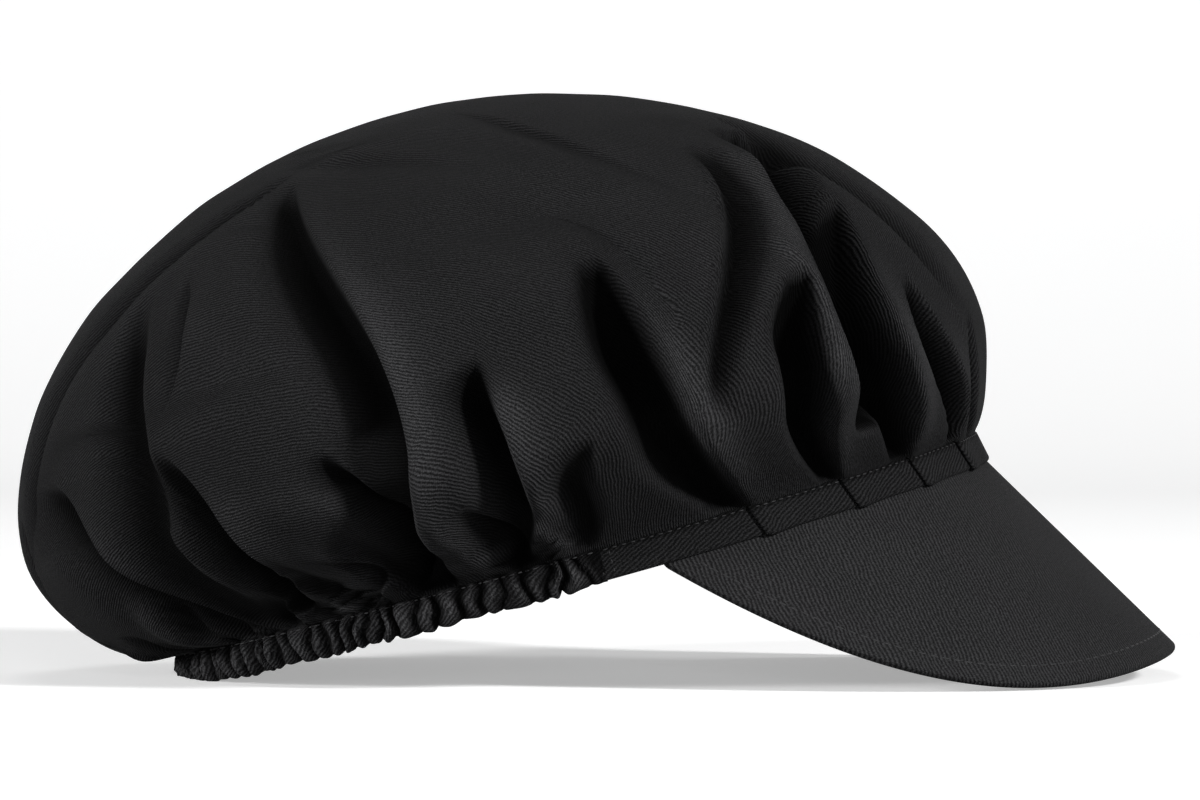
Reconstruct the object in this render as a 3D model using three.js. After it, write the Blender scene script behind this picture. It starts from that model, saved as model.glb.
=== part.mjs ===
// A catering cap: a puffed crown of one round cloth, pleated into a hem at the front and gathered
// on elastic round the back, with a stiff curved peak. Millimetres and degrees, +Z up.
// The cap is modelled on its own rim (front +X, the wearer's left +Y, rim flat at height 0) and
// then tipped back on to the table, where it lies on the elastic and the peak's two side edges.

import * as THREE from 'three';
import { LoftGeometry } from 'three/addons/geometries/LoftGeometry.js';
import { mergeVertices } from 'three/addons/utils/BufferGeometryUtils.js';

// How the cap lies: tipped back by an angle, with the middle of its rim this far above the table
const TIP_BACK = 15.45;
const RIM_LIFT = 25.87;
const GAP = 0.3;

// The rim that goes round the head, an oval
const RIM_LONG = 102.5;
const RIM_WIDE = 82.5;
const HEM_HIGH = 8;
const ELASTIC_FROM = 88;
const JOIN_TURN = 0.2;

// The hem of the crown at the front, folded flat with a few pleats
const BAND_WALL = 2.2;
const BAND_FOOT_OUT = 0.6;
const BAND_TOP_IN = 1;
const BAND_STEP = 3;
const PLEAT_LAP = 1.1;
const PLEAT_RUN = 12;
const PLEAT_EDGE = 0.4;
const PLEAT_TURNS = [65, 49.5, 35, 20];

// The casing of the elastic round the back, ruched. Each row of its section lies in from the rim's
// oval, and swings out and in with the ruches.
const CASING_WALL = 2.4;
const RUCHES = 40;
const RUCHE_OUT = 0.9;
const RUCHE_DROP = 0.5;
const CASING_HANG = 0.4;
const CASING_ROWS = [
  { name: 'foot', up: 0, inset: 1, swing: 0.7 },
  { name: 'belly', up: 4, inset: 0, swing: 1 },
  { name: 'top', up: 8, inset: 1.2, swing: 0.3 },
];

// The peak, a stiff sheet covered in cloth
const PEAK_WALL = 2.7;
const PEAK_LONG = 65.5;
const PEAK_TURN = 79;
const PEAK_SLOPE = 59.6;
const PEAK_FLARE = 0.35;
const PEAK_BLUNT = 5;
const PEAK_LEAST = 2;
const PEAK_COLUMNS = 34;
const PEAK_ROWS = 5;
const PEAK_INSET = 1.4;

// The crown: neck at the hem, swell at its widest, top
const CLOTH_WALL = 1.3;
const WALL_MOST = 3;
const NECK_LONG = 100.9;
const NECK_WIDE = 80.9;
const NECK_UP = HEM_HIGH + GAP;
const SWELL_MID = -11.3;
const SWELL_LONG = 122.1;
const SWELL_WIDE = 107;
const SWELL_UP = 37.5;
const SWELL_TIP = -3.5;
const TOP_MID = -18;
const TOP_UP = 121.4;
const UNDER_SHARE = 0.24;
const UNDER_POWER = 1.575;
const UNDER_SWING = -0.275;
const UNDER_LEVEL = 0.35;
const OVER_POWER = 1.87;
const CROWN_RISES = [0, 0.03, 0.07, 0.11, 0.15, 0.19, 0.24, 0.29, 0.34, 0.39, 0.45, 0.51, 0.57, 0.64, 0.71,
  0.78, 0.86, 0.94];
const COLUMN_STEP = 4.2;
const COLUMN_RISE = 0.19;
const GUIDE_FADE = 0.16;
const GUIDE_GAP = 0.8;
const GUIDE_LOWEST = 0.01;
const NUDGE = 0.002;
const SLOPE_STEP = 0.01;

// Folds of the crown. A fold is a crest with a steep wall on one side that drops into a valley.
// foot, middle and tip: degrees from the front to where the crest runs, at the rises from and to
// depth and crest: how far the valley lies below the cloth and the crest above it
// wall and valley: widths; back: a second crest behind the valley; faces: 1 wall to the back, -1 front
// sides: 2 where the other half of the cap has the same fold
const FOLDS = [
  { name: 'first pleat', foot: 65, middle: 66.5, tip: 70, from: 0, to: 0.47,
    depth: 12, crest: 4, wall: 5, valley: 17, back: 0.5, faces: 1, sides: 2 },
  { name: 'second pleat', foot: 49.5, middle: 49, tip: 46.5, from: 0, to: 0.38,
    depth: 9, crest: 4, wall: 4, valley: 9, back: 1, faces: 1, sides: 2 },
  { name: 'third pleat', foot: 35, middle: 34, tip: 29, from: 0, to: 0.46,
    depth: 9, crest: 4, wall: 5, valley: 13, back: 0, faces: 1, sides: 2 },
  { name: 'long ledge', foot: 46, middle: 38.5, tip: 25, from: 0.36, to: 0.64,
    depth: 6, crest: 3, wall: 5, valley: 14, back: 0, faces: -1, sides: 1 },
  { name: 'fourth pleat', foot: 19, middle: 18.3, tip: 27, from: 0, to: 0.32,
    depth: 7, crest: 3, wall: 4, valley: 8, back: 1, faces: 1, sides: 2 },
  { name: 'front pleat', foot: 9, middle: 9.5, tip: 10.5, from: 0, to: 0.26,
    depth: 4, crest: 2, wall: 4, valley: 7, back: 0, faces: 1, sides: 2 },
  { name: 'junction fold', foot: 84, middle: 80.5, tip: 77.5, from: 0, to: 0.24,
    depth: 8, crest: 3, wall: 5, valley: 9, back: 2, faces: 1, sides: 2 },
  { name: 'hood fold', foot: 95.5, middle: 88, tip: 88, from: 0, to: 0.36,
    depth: 9, crest: 3, wall: 4, valley: 7, back: 3, faces: 1, sides: 2 },
  { name: 'long gather', foot: 104, middle: 100, tip: 116, from: 0, to: 0.74,
    depth: 9, crest: 4, wall: 9, valley: 24, back: 0, faces: 1, sides: 2 },
  { name: 'round gather', foot: 112, middle: 105, tip: 107, from: 0, to: 0.3,
    depth: 7, crest: 3, wall: 4, valley: 8, back: 2, faces: 1, sides: 2 },
  { name: 'back gather', foot: 129, middle: 122.5, tip: 130, from: 0, to: 0.38,
    depth: 9, crest: 4, wall: 6, valley: 11, back: 1, faces: 1, sides: 2 },
  { name: 'high crease', foot: 132, middle: 131, tip: 134, from: 0.22, to: 0.62,
    depth: 5, crest: 2, wall: 5, valley: 22, back: 0, faces: 1, sides: 1 },
  { name: 'low gather', foot: 150, middle: 142, tip: 153, from: 0, to: 0.34,
    depth: 8, crest: 3, wall: 6, valley: 15, back: 1, faces: 1, sides: 2 },
  { name: 'rear gather', foot: 170, middle: 167, tip: 170, from: 0, to: 0.3,
    depth: 6, crest: 2, wall: 5, valley: 10, back: 1, faces: 1, sides: 1 },
  { name: 'top crease', foot: 50.5, middle: 56, tip: 54, from: 0.54, to: 0.9,
    depth: 3.5, crest: 1.5, wall: 4, valley: 8, back: 0, faces: 1, sides: 1 },
];
const CREST_REACH = 22;
const FOOT_SHARE = 0.3;
const FOOT_RUN = 0.09;
const FOLD_BLUNT = 5;
const TIP_WIDTH = 0.4;
const FOOT_WIDTH = 0.55;
const FOOT_SPREAD = 0.3;
const OTHER_SIDE_TURN = 3;
const OTHER_SIDE_DEPTH = 0.9;

const clamp01 = (x) => Math.min(Math.max(x, 0), 1);
const ease = (x) => clamp01(x) ** 2 * (3 - 2 * clamp01(x));
const rad = THREE.MathUtils.degToRad;
const point = (x, y, z) => new THREE.Vector3(x, y, z);

// A turn is in radians from the front, negative on the wearer's right.
function rimPoint(turn, outset, up) {
  const [c, s] = [Math.cos(turn), Math.sin(turn)];
  const normal = point(RIM_WIDE * c, RIM_LONG * s, 0).normalize();
  return point(RIM_LONG * c, RIM_WIDE * s, up).addScaledVector(normal, outset);
}

// The smooth form of the crown, without its folds: rise 0 at the neck, 1 at the top.
function crownForm(turn, rise) {
  const [c, s] = [Math.cos(turn), Math.sin(turn)];
  const swell = point(SWELL_MID + SWELL_LONG * c, SWELL_WIDE * s, SWELL_UP + SWELL_TIP * c);
  if (rise < UNDER_SHARE) {
    const angle = rise / UNDER_SHARE * Math.PI / 2;
    const power = 2 / (UNDER_POWER + UNDER_SWING * c);
    const out = Math.sin(angle) ** power;
    const neck = point(NECK_LONG * c, NECK_WIDE * s, NECK_UP);
    const up = 1 - Math.cos(angle) ** power;
    return point(
      THREE.MathUtils.lerp(neck.x, swell.x, out),
      THREE.MathUtils.lerp(neck.y, swell.y, out),
      THREE.MathUtils.lerp(neck.z, swell.z, up));
  }
  const angle = (rise - UNDER_SHARE) / (1 - UNDER_SHARE) * Math.PI / 2;
  const out = Math.max(Math.cos(angle), 0) ** (2 / OVER_POWER);
  const up = Math.sin(angle) ** (2 / OVER_POWER);
  return point(
    THREE.MathUtils.lerp(TOP_MID, swell.x, out),
    swell.y * out,
    THREE.MathUtils.lerp(swell.z, TOP_UP, up));
}

// Place, way out and stretch of the smooth form at a turn and a rise. Under the swell the way out is
// turned level, so that folds there stand out to the side and clear of the hem.
function crownPatch(turn, rise) {
  const low = Math.max(rise - NUDGE, 0);
  const place = crownForm(turn, rise);
  const along = crownForm(turn + NUDGE, rise).sub(crownForm(turn - NUDGE, rise));
  const upward = crownForm(turn, rise + NUDGE).sub(crownForm(turn, low));
  const normal = along.clone().cross(upward).normalize();
  normal.z = Math.max(normal.z, normal.z * UNDER_LEVEL);
  normal.normalize();
  const perTurn = along.length() / (2 * NUDGE);
  const perRise = upward.length() / (rise + NUDGE - low);
  return { place, normal, perTurn, perRise };
}

const wallWidth = (fold, width) => fold.wall * (1 + width) / 2;

// Height across one fold, at a distance in front of its crest.
function foldSection(ahead, fold, width) {
  const wall = wallWidth(fold, width);
  const valley = fold.valley * width;
  if (ahead >= 0) {
    return fold.crest * (1 - ease(ahead / CREST_REACH));
  }
  if (ahead > -wall) {
    return fold.crest - (fold.crest + fold.depth) * ease(-ahead / wall);
  }
  const beyond = (-ahead - wall) / valley;
  const rearCrest = fold.back * ease(beyond) * (1 - ease((beyond - 1) * valley / CREST_REACH));
  return rearCrest - fold.depth * (1 - ease(beyond));
}

// Where a fold runs at a rise: how far along it, its crest's turn and slant, and its width there.
// Side -1 is the wearer's right, the side with every fold.
function foldCourse(fold, side, rise, patch) {
  const along = clamp01((rise - fold.from) / (fold.to - fold.from));
  const bend = fold.foot - 2 * fold.middle + fold.tip;
  const drift = 4 * fold.middle - 3 * fold.foot - fold.tip;
  const shift = side > 0 ? OTHER_SIDE_TURN : 0;
  const turn = rad(fold.foot + along * (drift + shift + 2 * bend * along));
  const slope = rad(drift + shift + 4 * bend * along) / (fold.to - fold.from);
  const slant = Math.atan(slope * patch.perTurn / patch.perRise);
  const taper = Math.sqrt(1 - along ** FOLD_BLUNT);
  const footWidth = FOOT_WIDTH + (1 - FOOT_WIDTH) * ease(along / FOOT_SPREAD);
  const width = footWidth * (TIP_WIDTH + (1 - TIP_WIDTH) * taper);
  return { turn, slant, taper, width };
}

// Height of one fold over the smooth form.
function foldHeight(fold, side, turn, rise, patch) {
  if (rise < fold.from || rise >= fold.to) {
    return 0;
  }
  const course = foldCourse(fold, side, rise, patch);
  const offset = side * turn - course.turn;
  const wrapped = Math.atan2(Math.sin(offset), Math.cos(offset));
  const ahead = -wrapped * patch.perTurn * Math.cos(course.slant) * fold.faces;
  const footed = fold.from === 0 ? FOOT_SHARE : 0;
  const growth = footed + (1 - footed) * ease((rise - fold.from) / FOOT_RUN);
  const scale = side > 0 ? OTHER_SIDE_DEPTH : 1;
  return scale * growth * course.taper * foldSection(ahead, fold, course.width);
}

function crownHeight(turn, rise, patch) {
  let height = 0;
  for (const fold of FOLDS) {
    height += foldHeight(fold, -1, turn, rise, patch);
    if (fold.sides === 2) {
      height += foldHeight(fold, 1, turn, rise, patch);
    }
  }
  return height * ease(rise / FOOT_RUN);
}

// Outer and inner point of the folded cloth. Steep walls are cut deeper so that no cloth is thin.
function crownWall(turn, rise) {
  const patch = crownPatch(turn, rise);
  const height = crownHeight(turn, rise, patch);
  const ahead = crownHeight(turn + SLOPE_STEP, rise, patch);
  const before = crownHeight(turn - SLOPE_STEP, rise, patch);
  const steep = (ahead - before) / (2 * SLOPE_STEP * patch.perTurn);
  const wall = Math.min(CLOTH_WALL * Math.sqrt(1 + steep ** 2), WALL_MOST);
  return {
    outer: patch.place.clone().addScaledVector(patch.normal, height),
    inner: patch.place.clone().addScaledVector(patch.normal, height - wall),
  };
}

// Lines that the crown's columns follow on one side: the crest of each fold and the foot of its wall.
// A guide pulls its column only where the fold is; beyond that, the columns spread evenly.
function crownGuides(side) {
  const folds = FOLDS.filter((fold) => side < 0 || fold.sides === 2);
  const guides = [];
  for (const fold of folds.sort((a, b) => a.foot - b.foot)) {
    const edge = (inWall) => (rise) => {
      const patch = crownPatch(side * rad(fold.middle), Math.max(rise, GUIDE_LOWEST));
      const course = foldCourse(fold, side, rise, patch);
      const across = inWall * wallWidth(fold, course.width) / (patch.perTurn * Math.cos(course.slant));
      return course.turn + fold.faces * across;
    };
    const pull = (rise) => 1 - ease(Math.max(fold.from - rise, rise - fold.to, 0) / GUIDE_FADE);
    const pair = [{ at: edge(0), pull }, { at: edge(1), pull }];
    guides.push(...(fold.faces > 0 ? pair : pair.reverse()));
  }
  return guides;
}

// Columns of one side at a rise, from the front to the back, as turns away from the front.
function sideTurns(rise, guides, spares) {
  const marks = [{ index: 0, turn: 0, pull: 1 }];
  guides.forEach((guide, i) => {
    const index = marks[i].index + spares[i] + 1;
    marks.push({ index, turn: guide.at(rise), pull: guide.pull(rise) });
  });
  const last = marks[guides.length].index + spares[guides.length] + 1;
  marks.push({ index: last, turn: Math.PI, pull: 1 });
  const firm = marks.filter((mark) => mark.pull === 1);
  const between = (at, a, b) => THREE.MathUtils.mapLinear(at, a.index, b.index, a.turn, b.turn);
  const kept = [marks[0]];
  for (const mark of marks.slice(1)) {
    const next = firm.findIndex((other) => other.index >= mark.index);
    const even = between(mark.index, firm[next - 1], firm[next]);
    const before = kept.at(-1);
    const least = before.turn + rad(GUIDE_GAP) * (mark.index - before.index);
    const turn = Math.max(THREE.MathUtils.lerp(even, mark.turn, mark.pull), least);
    kept.push({ index: mark.index, turn });
  }
  const turns = [];
  for (let i = 1; i < kept.length; i += 1) {
    for (let at = kept[i - 1].index; at < kept[i].index; at += 1) {
      turns.push(between(at, kept[i - 1], kept[i]));
    }
  }
  return turns;
}

// How many columns go between the guides of one side.
function spareColumns(guides) {
  const turns = [0, ...guides.map((guide) => guide.at(COLUMN_RISE)), Math.PI];
  return turns.slice(1).map((turn, i) => Math.max(Math.round((turn - turns[i]) / rad(COLUMN_STEP)) - 1, 0));
}

// All columns at each rise, from the front round by the wearer's left.
function crownTurns() {
  const [right, left] = [crownGuides(-1), crownGuides(1)];
  const [rightSpares, leftSpares] = [spareColumns(right), spareColumns(left)];
  return CROWN_RISES.map((rise) => {
    const leftTurns = sideTurns(rise, left, leftSpares);
    const rightTurns = sideTurns(rise, right, rightSpares).slice(1).map((turn) => -turn);
    return [...leftTurns, Math.PI, ...rightTurns.reverse()];
  });
}

// A closed solid through its sections. Corners that meet are joined, and faces that have shrunk to
// nothing at a pole are dropped.
function loftSolid(sections, capped) {
  const loft = new LoftGeometry(sections, { capStart: capped, capEnd: capped });
  const plain = new THREE.BufferGeometry().copy(loft);
  plain.deleteAttribute('normal');
  plain.deleteAttribute('uv');
  const joined = mergeVertices(plain, 0.001);
  const corners = joined.index.array;
  const faces = [];
  for (let i = 0; i < corners.length; i += 3) {
    const face = corners.slice(i, i + 3);
    if (new Set(face).size === 3) {
      faces.push(...face);
    }
  }
  joined.setIndex(faces);
  joined.computeVertexNormals();
  return joined;
}

function crownShape() {
  const turns = crownTurns();
  const rings = CROWN_RISES.map((rise, i) => turns[i].map((turn) => crownWall(turn, rise)));
  const outer = rings.map((ring) => ring.map((wall) => wall.outer));
  const inner = rings.map((ring) => ring.map((wall) => wall.inner));
  const outerTop = outer[0].map(() => point(TOP_MID, 0, TOP_UP));
  const innerTop = inner[0].map(() => point(TOP_MID, 0, TOP_UP - CLOTH_WALL));
  const rows = [innerTop, ...inner.toReversed(), ...outer, outerTop];
  return loftSolid(rows, false);
}

// The hem at the front: each pleat laps over the cloth behind it and runs out towards the front.
function pleatLap(turn) {
  const side = Math.abs(THREE.MathUtils.radToDeg(turn));
  const laps = PLEAT_TURNS.map((edge) => (side <= edge ? PLEAT_LAP * (1 - (edge - side) / PLEAT_RUN) : 0));
  return Math.max(...laps, 0);
}

function bandTurns() {
  const edges = PLEAT_TURNS.flatMap((edge) => [edge + PLEAT_EDGE, edge]);
  const evens = [];
  for (let turn = 0; turn < ELASTIC_FROM; turn += BAND_STEP) {
    evens.push(turn);
  }
  const half = [...new Set([...edges, ...evens, ELASTIC_FROM - JOIN_TURN])].sort((a, b) => a - b);
  return [...half.slice(1).map((turn) => -turn).reverse(), ...half];
}

function bandSection(turn) {
  const lap = pleatLap(turn);
  return [
    rimPoint(turn, BAND_FOOT_OUT - BAND_WALL, 0),
    rimPoint(turn, -BAND_TOP_IN - BAND_WALL, HEM_HIGH),
    rimPoint(turn, lap - BAND_TOP_IN, HEM_HIGH),
    rimPoint(turn, lap + BAND_FOOT_OUT, 0),
  ];
}

function bandShape() {
  const sections = bandTurns().map((turn) => bandSection(rad(turn)));
  return loftSolid(sections, true);
}

// The elastic's casing: two columns to a ruche, out on the crests and in between them.
function casingSection(turn, crest) {
  const out = crest ? RUCHE_OUT : -RUCHE_OUT;
  const foot = crest ? -CASING_HANG : RUCHE_DROP - CASING_HANG;
  const [low, belly, top] = CASING_ROWS.map((row) => ({ up: row.up, outset: row.swing * out - row.inset }));
  return [
    rimPoint(turn, low.outset - CASING_WALL, foot),
    rimPoint(turn, top.outset - CASING_WALL, top.up),
    rimPoint(turn, top.outset, top.up),
    rimPoint(turn, belly.outset, belly.up),
    rimPoint(turn, low.outset, foot),
  ];
}

// Presses what would reach below the table flat on to it.
function pressOnTable(corner) {
  const tip = rad(TIP_BACK);
  const table = (-RIM_LIFT - corner.x * Math.sin(tip)) / Math.cos(tip);
  corner.z = Math.max(corner.z, table);
  return corner;
}

function casingShape() {
  const sections = [];
  const columns = 2 * RUCHES;
  for (let i = 0; i <= columns; i += 1) {
    const turn = THREE.MathUtils.lerp(ELASTIC_FROM, 360 - ELASTIC_FROM, i / columns);
    sections.push(casingSection(rad(turn), i % 2 === 1).map(pressOnTable));
  }
  return loftSolid(sections, true);
}

// The peak: a sheet that leaves the rim at one slope and fans out a little to its sides.
function peakPoint(turn, run, depth) {
  const slope = rad(PEAK_SLOPE);
  const away = turn * PEAK_FLARE;
  const root = rimPoint(turn, -PEAK_INSET, -GAP - PEAK_WALL / 2 * Math.cos(slope));
  const fall = point(Math.cos(slope) * Math.cos(away), Math.cos(slope) * Math.sin(away), -Math.sin(slope));
  const along = point(-RIM_LONG * Math.sin(turn), RIM_WIDE * Math.cos(turn), 0).normalize();
  const normal = along.cross(fall).normalize();
  return root.addScaledVector(fall, run).addScaledVector(normal, depth);
}

function peakShape() {
  const sections = [];
  for (let i = 0; i <= PEAK_COLUMNS; i += 1) {
    const share = 2 * i / PEAK_COLUMNS - 1;
    const turn = rad(PEAK_TURN) * share;
    const reach = Math.max(PEAK_LONG * (1 - Math.abs(share) ** PEAK_BLUNT), PEAK_LEAST);
    const top = [];
    const under = [];
    for (let j = 0; j <= PEAK_ROWS; j += 1) {
      top.push(peakPoint(turn, reach * j / PEAK_ROWS, PEAK_WALL / 2));
      under.push(peakPoint(turn, reach * j / PEAK_ROWS, -PEAK_WALL / 2));
    }
    sections.push([...under, ...top.reverse()]);
  }
  return loftSolid(sections, true);
}

const cloth = new THREE.MeshStandardMaterial({ color: 0x202022, roughness: 0.9, metalness: 0 });
const coveredBoard = new THREE.MeshStandardMaterial({ color: 0x262628, roughness: 0.85, metalness: 0 });

const cap = new THREE.Group();
const tipped = new THREE.Group();
tipped.rotation.y = -rad(TIP_BACK);
tipped.position.z = RIM_LIFT;
cap.add(tipped);

function addPiece(name, geometry, material) {
  const piece = new THREE.Mesh(geometry, material);
  piece.name = name;
  tipped.add(piece);
}

addPiece('crown', crownShape(), cloth);
addPiece('front_band', bandShape(), cloth);
addPiece('back_casing', casingShape(), cloth);
addPiece('peak', peakShape(), coveredBoard);

// The origin goes under the middle of the whole cap.
const box = new THREE.Box3().setFromObject(cap, true);
const middle = box.getCenter(new THREE.Vector3());
tipped.position.x -= middle.x;
tipped.position.y -= middle.y;

export default cap;
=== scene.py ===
# %% [markdown]
# # A catering cap with a peak
# The cap is one round of black twill. Round the back its edge is turned over an elastic, which gathers
# it; at the front the edge is pleated and stitched flat, with a stiff, cloth-covered peak below it.
# This lesson makes it as it is sewn: a flat round of cloth, laid over the cap's form, then the hem,
# the elastic's casing, the peak and the stitches.

# %% The frame
import math
from collections import namedtuple

import bmesh
import bpy
import numpy as np
from mathutils import Matrix, Vector, noise


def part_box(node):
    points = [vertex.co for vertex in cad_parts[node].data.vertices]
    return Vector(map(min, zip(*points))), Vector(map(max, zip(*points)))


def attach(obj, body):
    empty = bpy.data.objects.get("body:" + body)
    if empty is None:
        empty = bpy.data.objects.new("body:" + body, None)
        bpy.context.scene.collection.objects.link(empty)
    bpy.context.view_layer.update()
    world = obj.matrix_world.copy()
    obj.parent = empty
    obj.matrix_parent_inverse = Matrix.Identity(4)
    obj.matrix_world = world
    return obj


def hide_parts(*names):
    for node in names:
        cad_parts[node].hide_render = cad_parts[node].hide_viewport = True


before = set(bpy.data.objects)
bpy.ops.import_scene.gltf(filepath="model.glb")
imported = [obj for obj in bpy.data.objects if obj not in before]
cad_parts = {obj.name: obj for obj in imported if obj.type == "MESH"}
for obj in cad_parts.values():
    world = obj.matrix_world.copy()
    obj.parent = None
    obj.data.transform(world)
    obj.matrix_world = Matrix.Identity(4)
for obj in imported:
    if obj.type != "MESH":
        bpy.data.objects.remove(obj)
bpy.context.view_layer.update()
print("frame:", sorted(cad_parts))

# %% [markdown]
# ## The rim
# Everything on a cap hangs on its rim, so the lesson works in the rim's own frame, in millimetres:
# +X to the front, +Y to the wearer's left, and height 0 at the lower edge of the hem. The last step
# tips every piece back on to the table, because the cap lies on its elastic and on its peak's edges.

# %% The rim's oval
MM = 0.001
TIP_BACK = math.radians(15.45)
RIM_LIFT = 25.87
RIM_LONG = 102.5
RIM_WIDE = 82.5
HEM_HIGH = 8.0
ELASTIC_FROM = math.radians(88)


def ease(x):
    x = np.clip(x, 0.0, 1.0)
    return x * x * (3 - 2 * x)


def lerp(a, b, share):
    return a + (b - a) * share


def stack(x, y, z):
    return np.stack(np.broadcast_arrays(x, y, z), axis=-1)


def unit(v):
    return v / np.maximum(np.linalg.norm(v, axis=-1, keepdims=True), 1e-12)


def step_lengths(points, axis=0, **ends):
    """Lengths of the steps between points that follow each other."""
    return np.linalg.norm(np.diff(points, axis=axis, **ends), axis=-1)


def running(steps):
    """The running total of some steps, from 0."""
    return np.concatenate([[0], np.cumsum(steps)])


def rim_out(turn):
    """The way out of the rim's oval, at a turn in radians from the front."""
    return unit(stack(RIM_WIDE * np.cos(turn), RIM_LONG * np.sin(turn), 0.0))


def rim_point(turn, outset, up):
    on_oval = stack(RIM_LONG * np.cos(turn), RIM_WIDE * np.sin(turn), up)
    return on_oval + rim_out(turn) * np.asarray(outset)[..., None]


# %% [markdown]
# ## The peak's sheet
# The peak is a flat board that has been bent round the rim. Straight lines run down it, and they fan
# out a little to the sides, so its surface is the rim's curve swept along those lines.

# %% The sheet of the peak
PEAK_WALL = 2.7
PEAK_LONG = 65.5
PEAK_TURN = math.radians(79)
PEAK_SLOPE = math.radians(59.6)
PEAK_FLARE = 0.35
PEAK_BLUNT = 5
PEAK_HIDDEN = 3.0
PEAK_INSET = 1.4
GAP = 0.3


def peak_reach(turn):
    return PEAK_LONG * (1 - np.abs(turn / PEAK_TURN) ** PEAK_BLUNT)


def peak_point(turn, run, out):
    """A point of the peak: run down it from the rim, out of its middle sheet."""
    away = turn * PEAK_FLARE
    root = rim_point(turn, -PEAK_INSET + 0 * turn, -GAP - PEAK_WALL / 2 * math.cos(PEAK_SLOPE))
    level = math.cos(PEAK_SLOPE)
    fall = stack(level * np.cos(away), level * np.sin(away), -math.sin(PEAK_SLOPE))
    along = unit(stack(-RIM_LONG * np.sin(turn), RIM_WIDE * np.cos(turn), 0.0))
    outward = unit(np.cross(fall, along))
    return root + fall * np.asarray(run)[..., None] + outward * np.asarray(out)[..., None]


# %% [markdown]
# ## Laying the rim's frame on the table
# The frame says where the peak's tip is in the world. The same sizes give its tip in the rim's frame,
# so the difference between the two is where the rim's middle lies.

# %% From the rim's frame to the world
def tip(points):
    """Tips points of the rim's frame back, and lifts them on to the table."""
    x, y, z = points[..., 0], points[..., 1], points[..., 2]
    c, s = math.cos(TIP_BACK), math.sin(TIP_BACK)
    return stack(x * c - z * s, y, x * s + z * c + RIM_LIFT)


edge_turns = np.linspace(-PEAK_TURN, PEAK_TURN, 200)
tips = tip(peak_point(edge_turns, peak_reach(edge_turns), PEAK_WALL / 2 + 0 * edge_turns))
RIM_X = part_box("peak")[1].x / MM - tips[:, 0].max()
print("rim's middle at x", round(RIM_X, 2), "mm")


def on_table(points):
    """World places in metres of points of the rim's frame; nothing reaches below the table."""
    world = tip(points) + np.array([RIM_X, 0.0, 0.0])
    world[..., 2] = np.maximum(world[..., 2], 0.0)
    return world * MM


# %% [markdown]
# ## The crown's smooth form
# Without its folds the crown is an egg-shaped cushion. It leaves the hem at an oval neck, swells out to
# its widest about 35 mm up, and closes over the top. A *rise* of 0 is the neck and 1 is the top. It
# stands up straighter from the hem at the sides than at the front and back. A squashed sphere comes
# close, but it wouldn't meet the hem, so the form is worked out from a turn and a rise.

# %% The smooth form
NECK_LONG = 100.9
NECK_WIDE = 80.9
NECK_UP = 7.1
SWELL_MID = -11.3
SWELL_LONG = 122.1
SWELL_WIDE = 107.0
SWELL_UP = 37.5
SWELL_TIP = -3.5
TOP_MID = -18.0
TOP_UP = 121.4
UNDER_SHARE = 0.24
UNDER_LEVEL = 0.35
LEVEL_RISE = 0.2
OVER_POWER = 1.87
NUDGE = 0.002
FRONT_BLEND = 2
FRONT_SHIFT = 0.9
BACK_BLEND = 3.2
BACK_SHIFT = 2.1

Handles = namedtuple("Handles", "out_first up_first out_second up_second")
FRONT_UNDER = Handles(0.33, 0.14, 0.97, 0.6)
SIDE_UNDER = Handles(0.2, 0.34, 0.98, 0.58)
BACK_UNDER = Handles(0.5, 0.0, 1.0, 0.5)


def curve(share, first, second):
    """One coordinate of a Bezier curve from 0 to 1, with its two handles."""
    left = 1 - share
    return 3 * left**2 * share * first + 3 * left * share**2 * second + share**3


def crown_form(turn, rise):
    c, s = np.cos(turn), np.sin(turn)
    swell_x = SWELL_MID + SWELL_LONG * c
    swell_y = SWELL_WIDE * s
    swell_z = SWELL_UP + SWELL_TIP * c
    under = np.clip(rise / UNDER_SHARE, 0, 1)
    front = ease(c * FRONT_BLEND - FRONT_SHIFT)
    back = ease(-c * BACK_BLEND - BACK_SHIFT)
    thirds = zip(FRONT_UNDER, SIDE_UNDER, BACK_UNDER)
    handle = Handles(*(f * front + b * back + m * (1 - front - back) for f, m, b in thirds))
    out = curve(under, handle.out_first, handle.out_second)
    up = curve(under, handle.up_first, handle.up_second)
    neck_x, neck_y = NECK_LONG * c, NECK_WIDE * s
    lower = stack(lerp(neck_x, swell_x, out), lerp(neck_y, swell_y, out), lerp(NECK_UP, swell_z, up))
    over = np.clip((rise - UNDER_SHARE) / (1 - UNDER_SHARE), 0, 1) * np.pi / 2
    out = np.clip(np.cos(over), 0, 1) ** (2 / OVER_POWER)
    up = np.sin(over) ** (2 / OVER_POWER)
    upper = stack(lerp(TOP_MID, swell_x, out), swell_y * out, lerp(swell_z, TOP_UP, up))
    return np.where(np.asarray(rise < UNDER_SHARE)[..., None], lower, upper)


Patch = namedtuple("Patch", "place out round up per_turn per_rise")


def crown_patch(turn, rise):
    """Place, way out, directions and stretch of the smooth form."""
    low = np.maximum(rise - NUDGE, 0)
    high = np.minimum(rise + NUDGE, 1)
    along = crown_form(turn + NUDGE, rise) - crown_form(turn - NUDGE, rise)
    upward = crown_form(turn, high) - crown_form(turn, low)
    out = unit(np.cross(along, upward))
    out[..., 2] = np.maximum(out[..., 2], out[..., 2] * UNDER_LEVEL * ease(rise / LEVEL_RISE))
    per_turn = np.linalg.norm(along, axis=-1) / (2 * NUDGE)
    per_rise = np.linalg.norm(upward, axis=-1) / (high - low)
    return Patch(crown_form(turn, rise), unit(out), unit(along), unit(upward), per_turn, per_rise)


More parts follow.
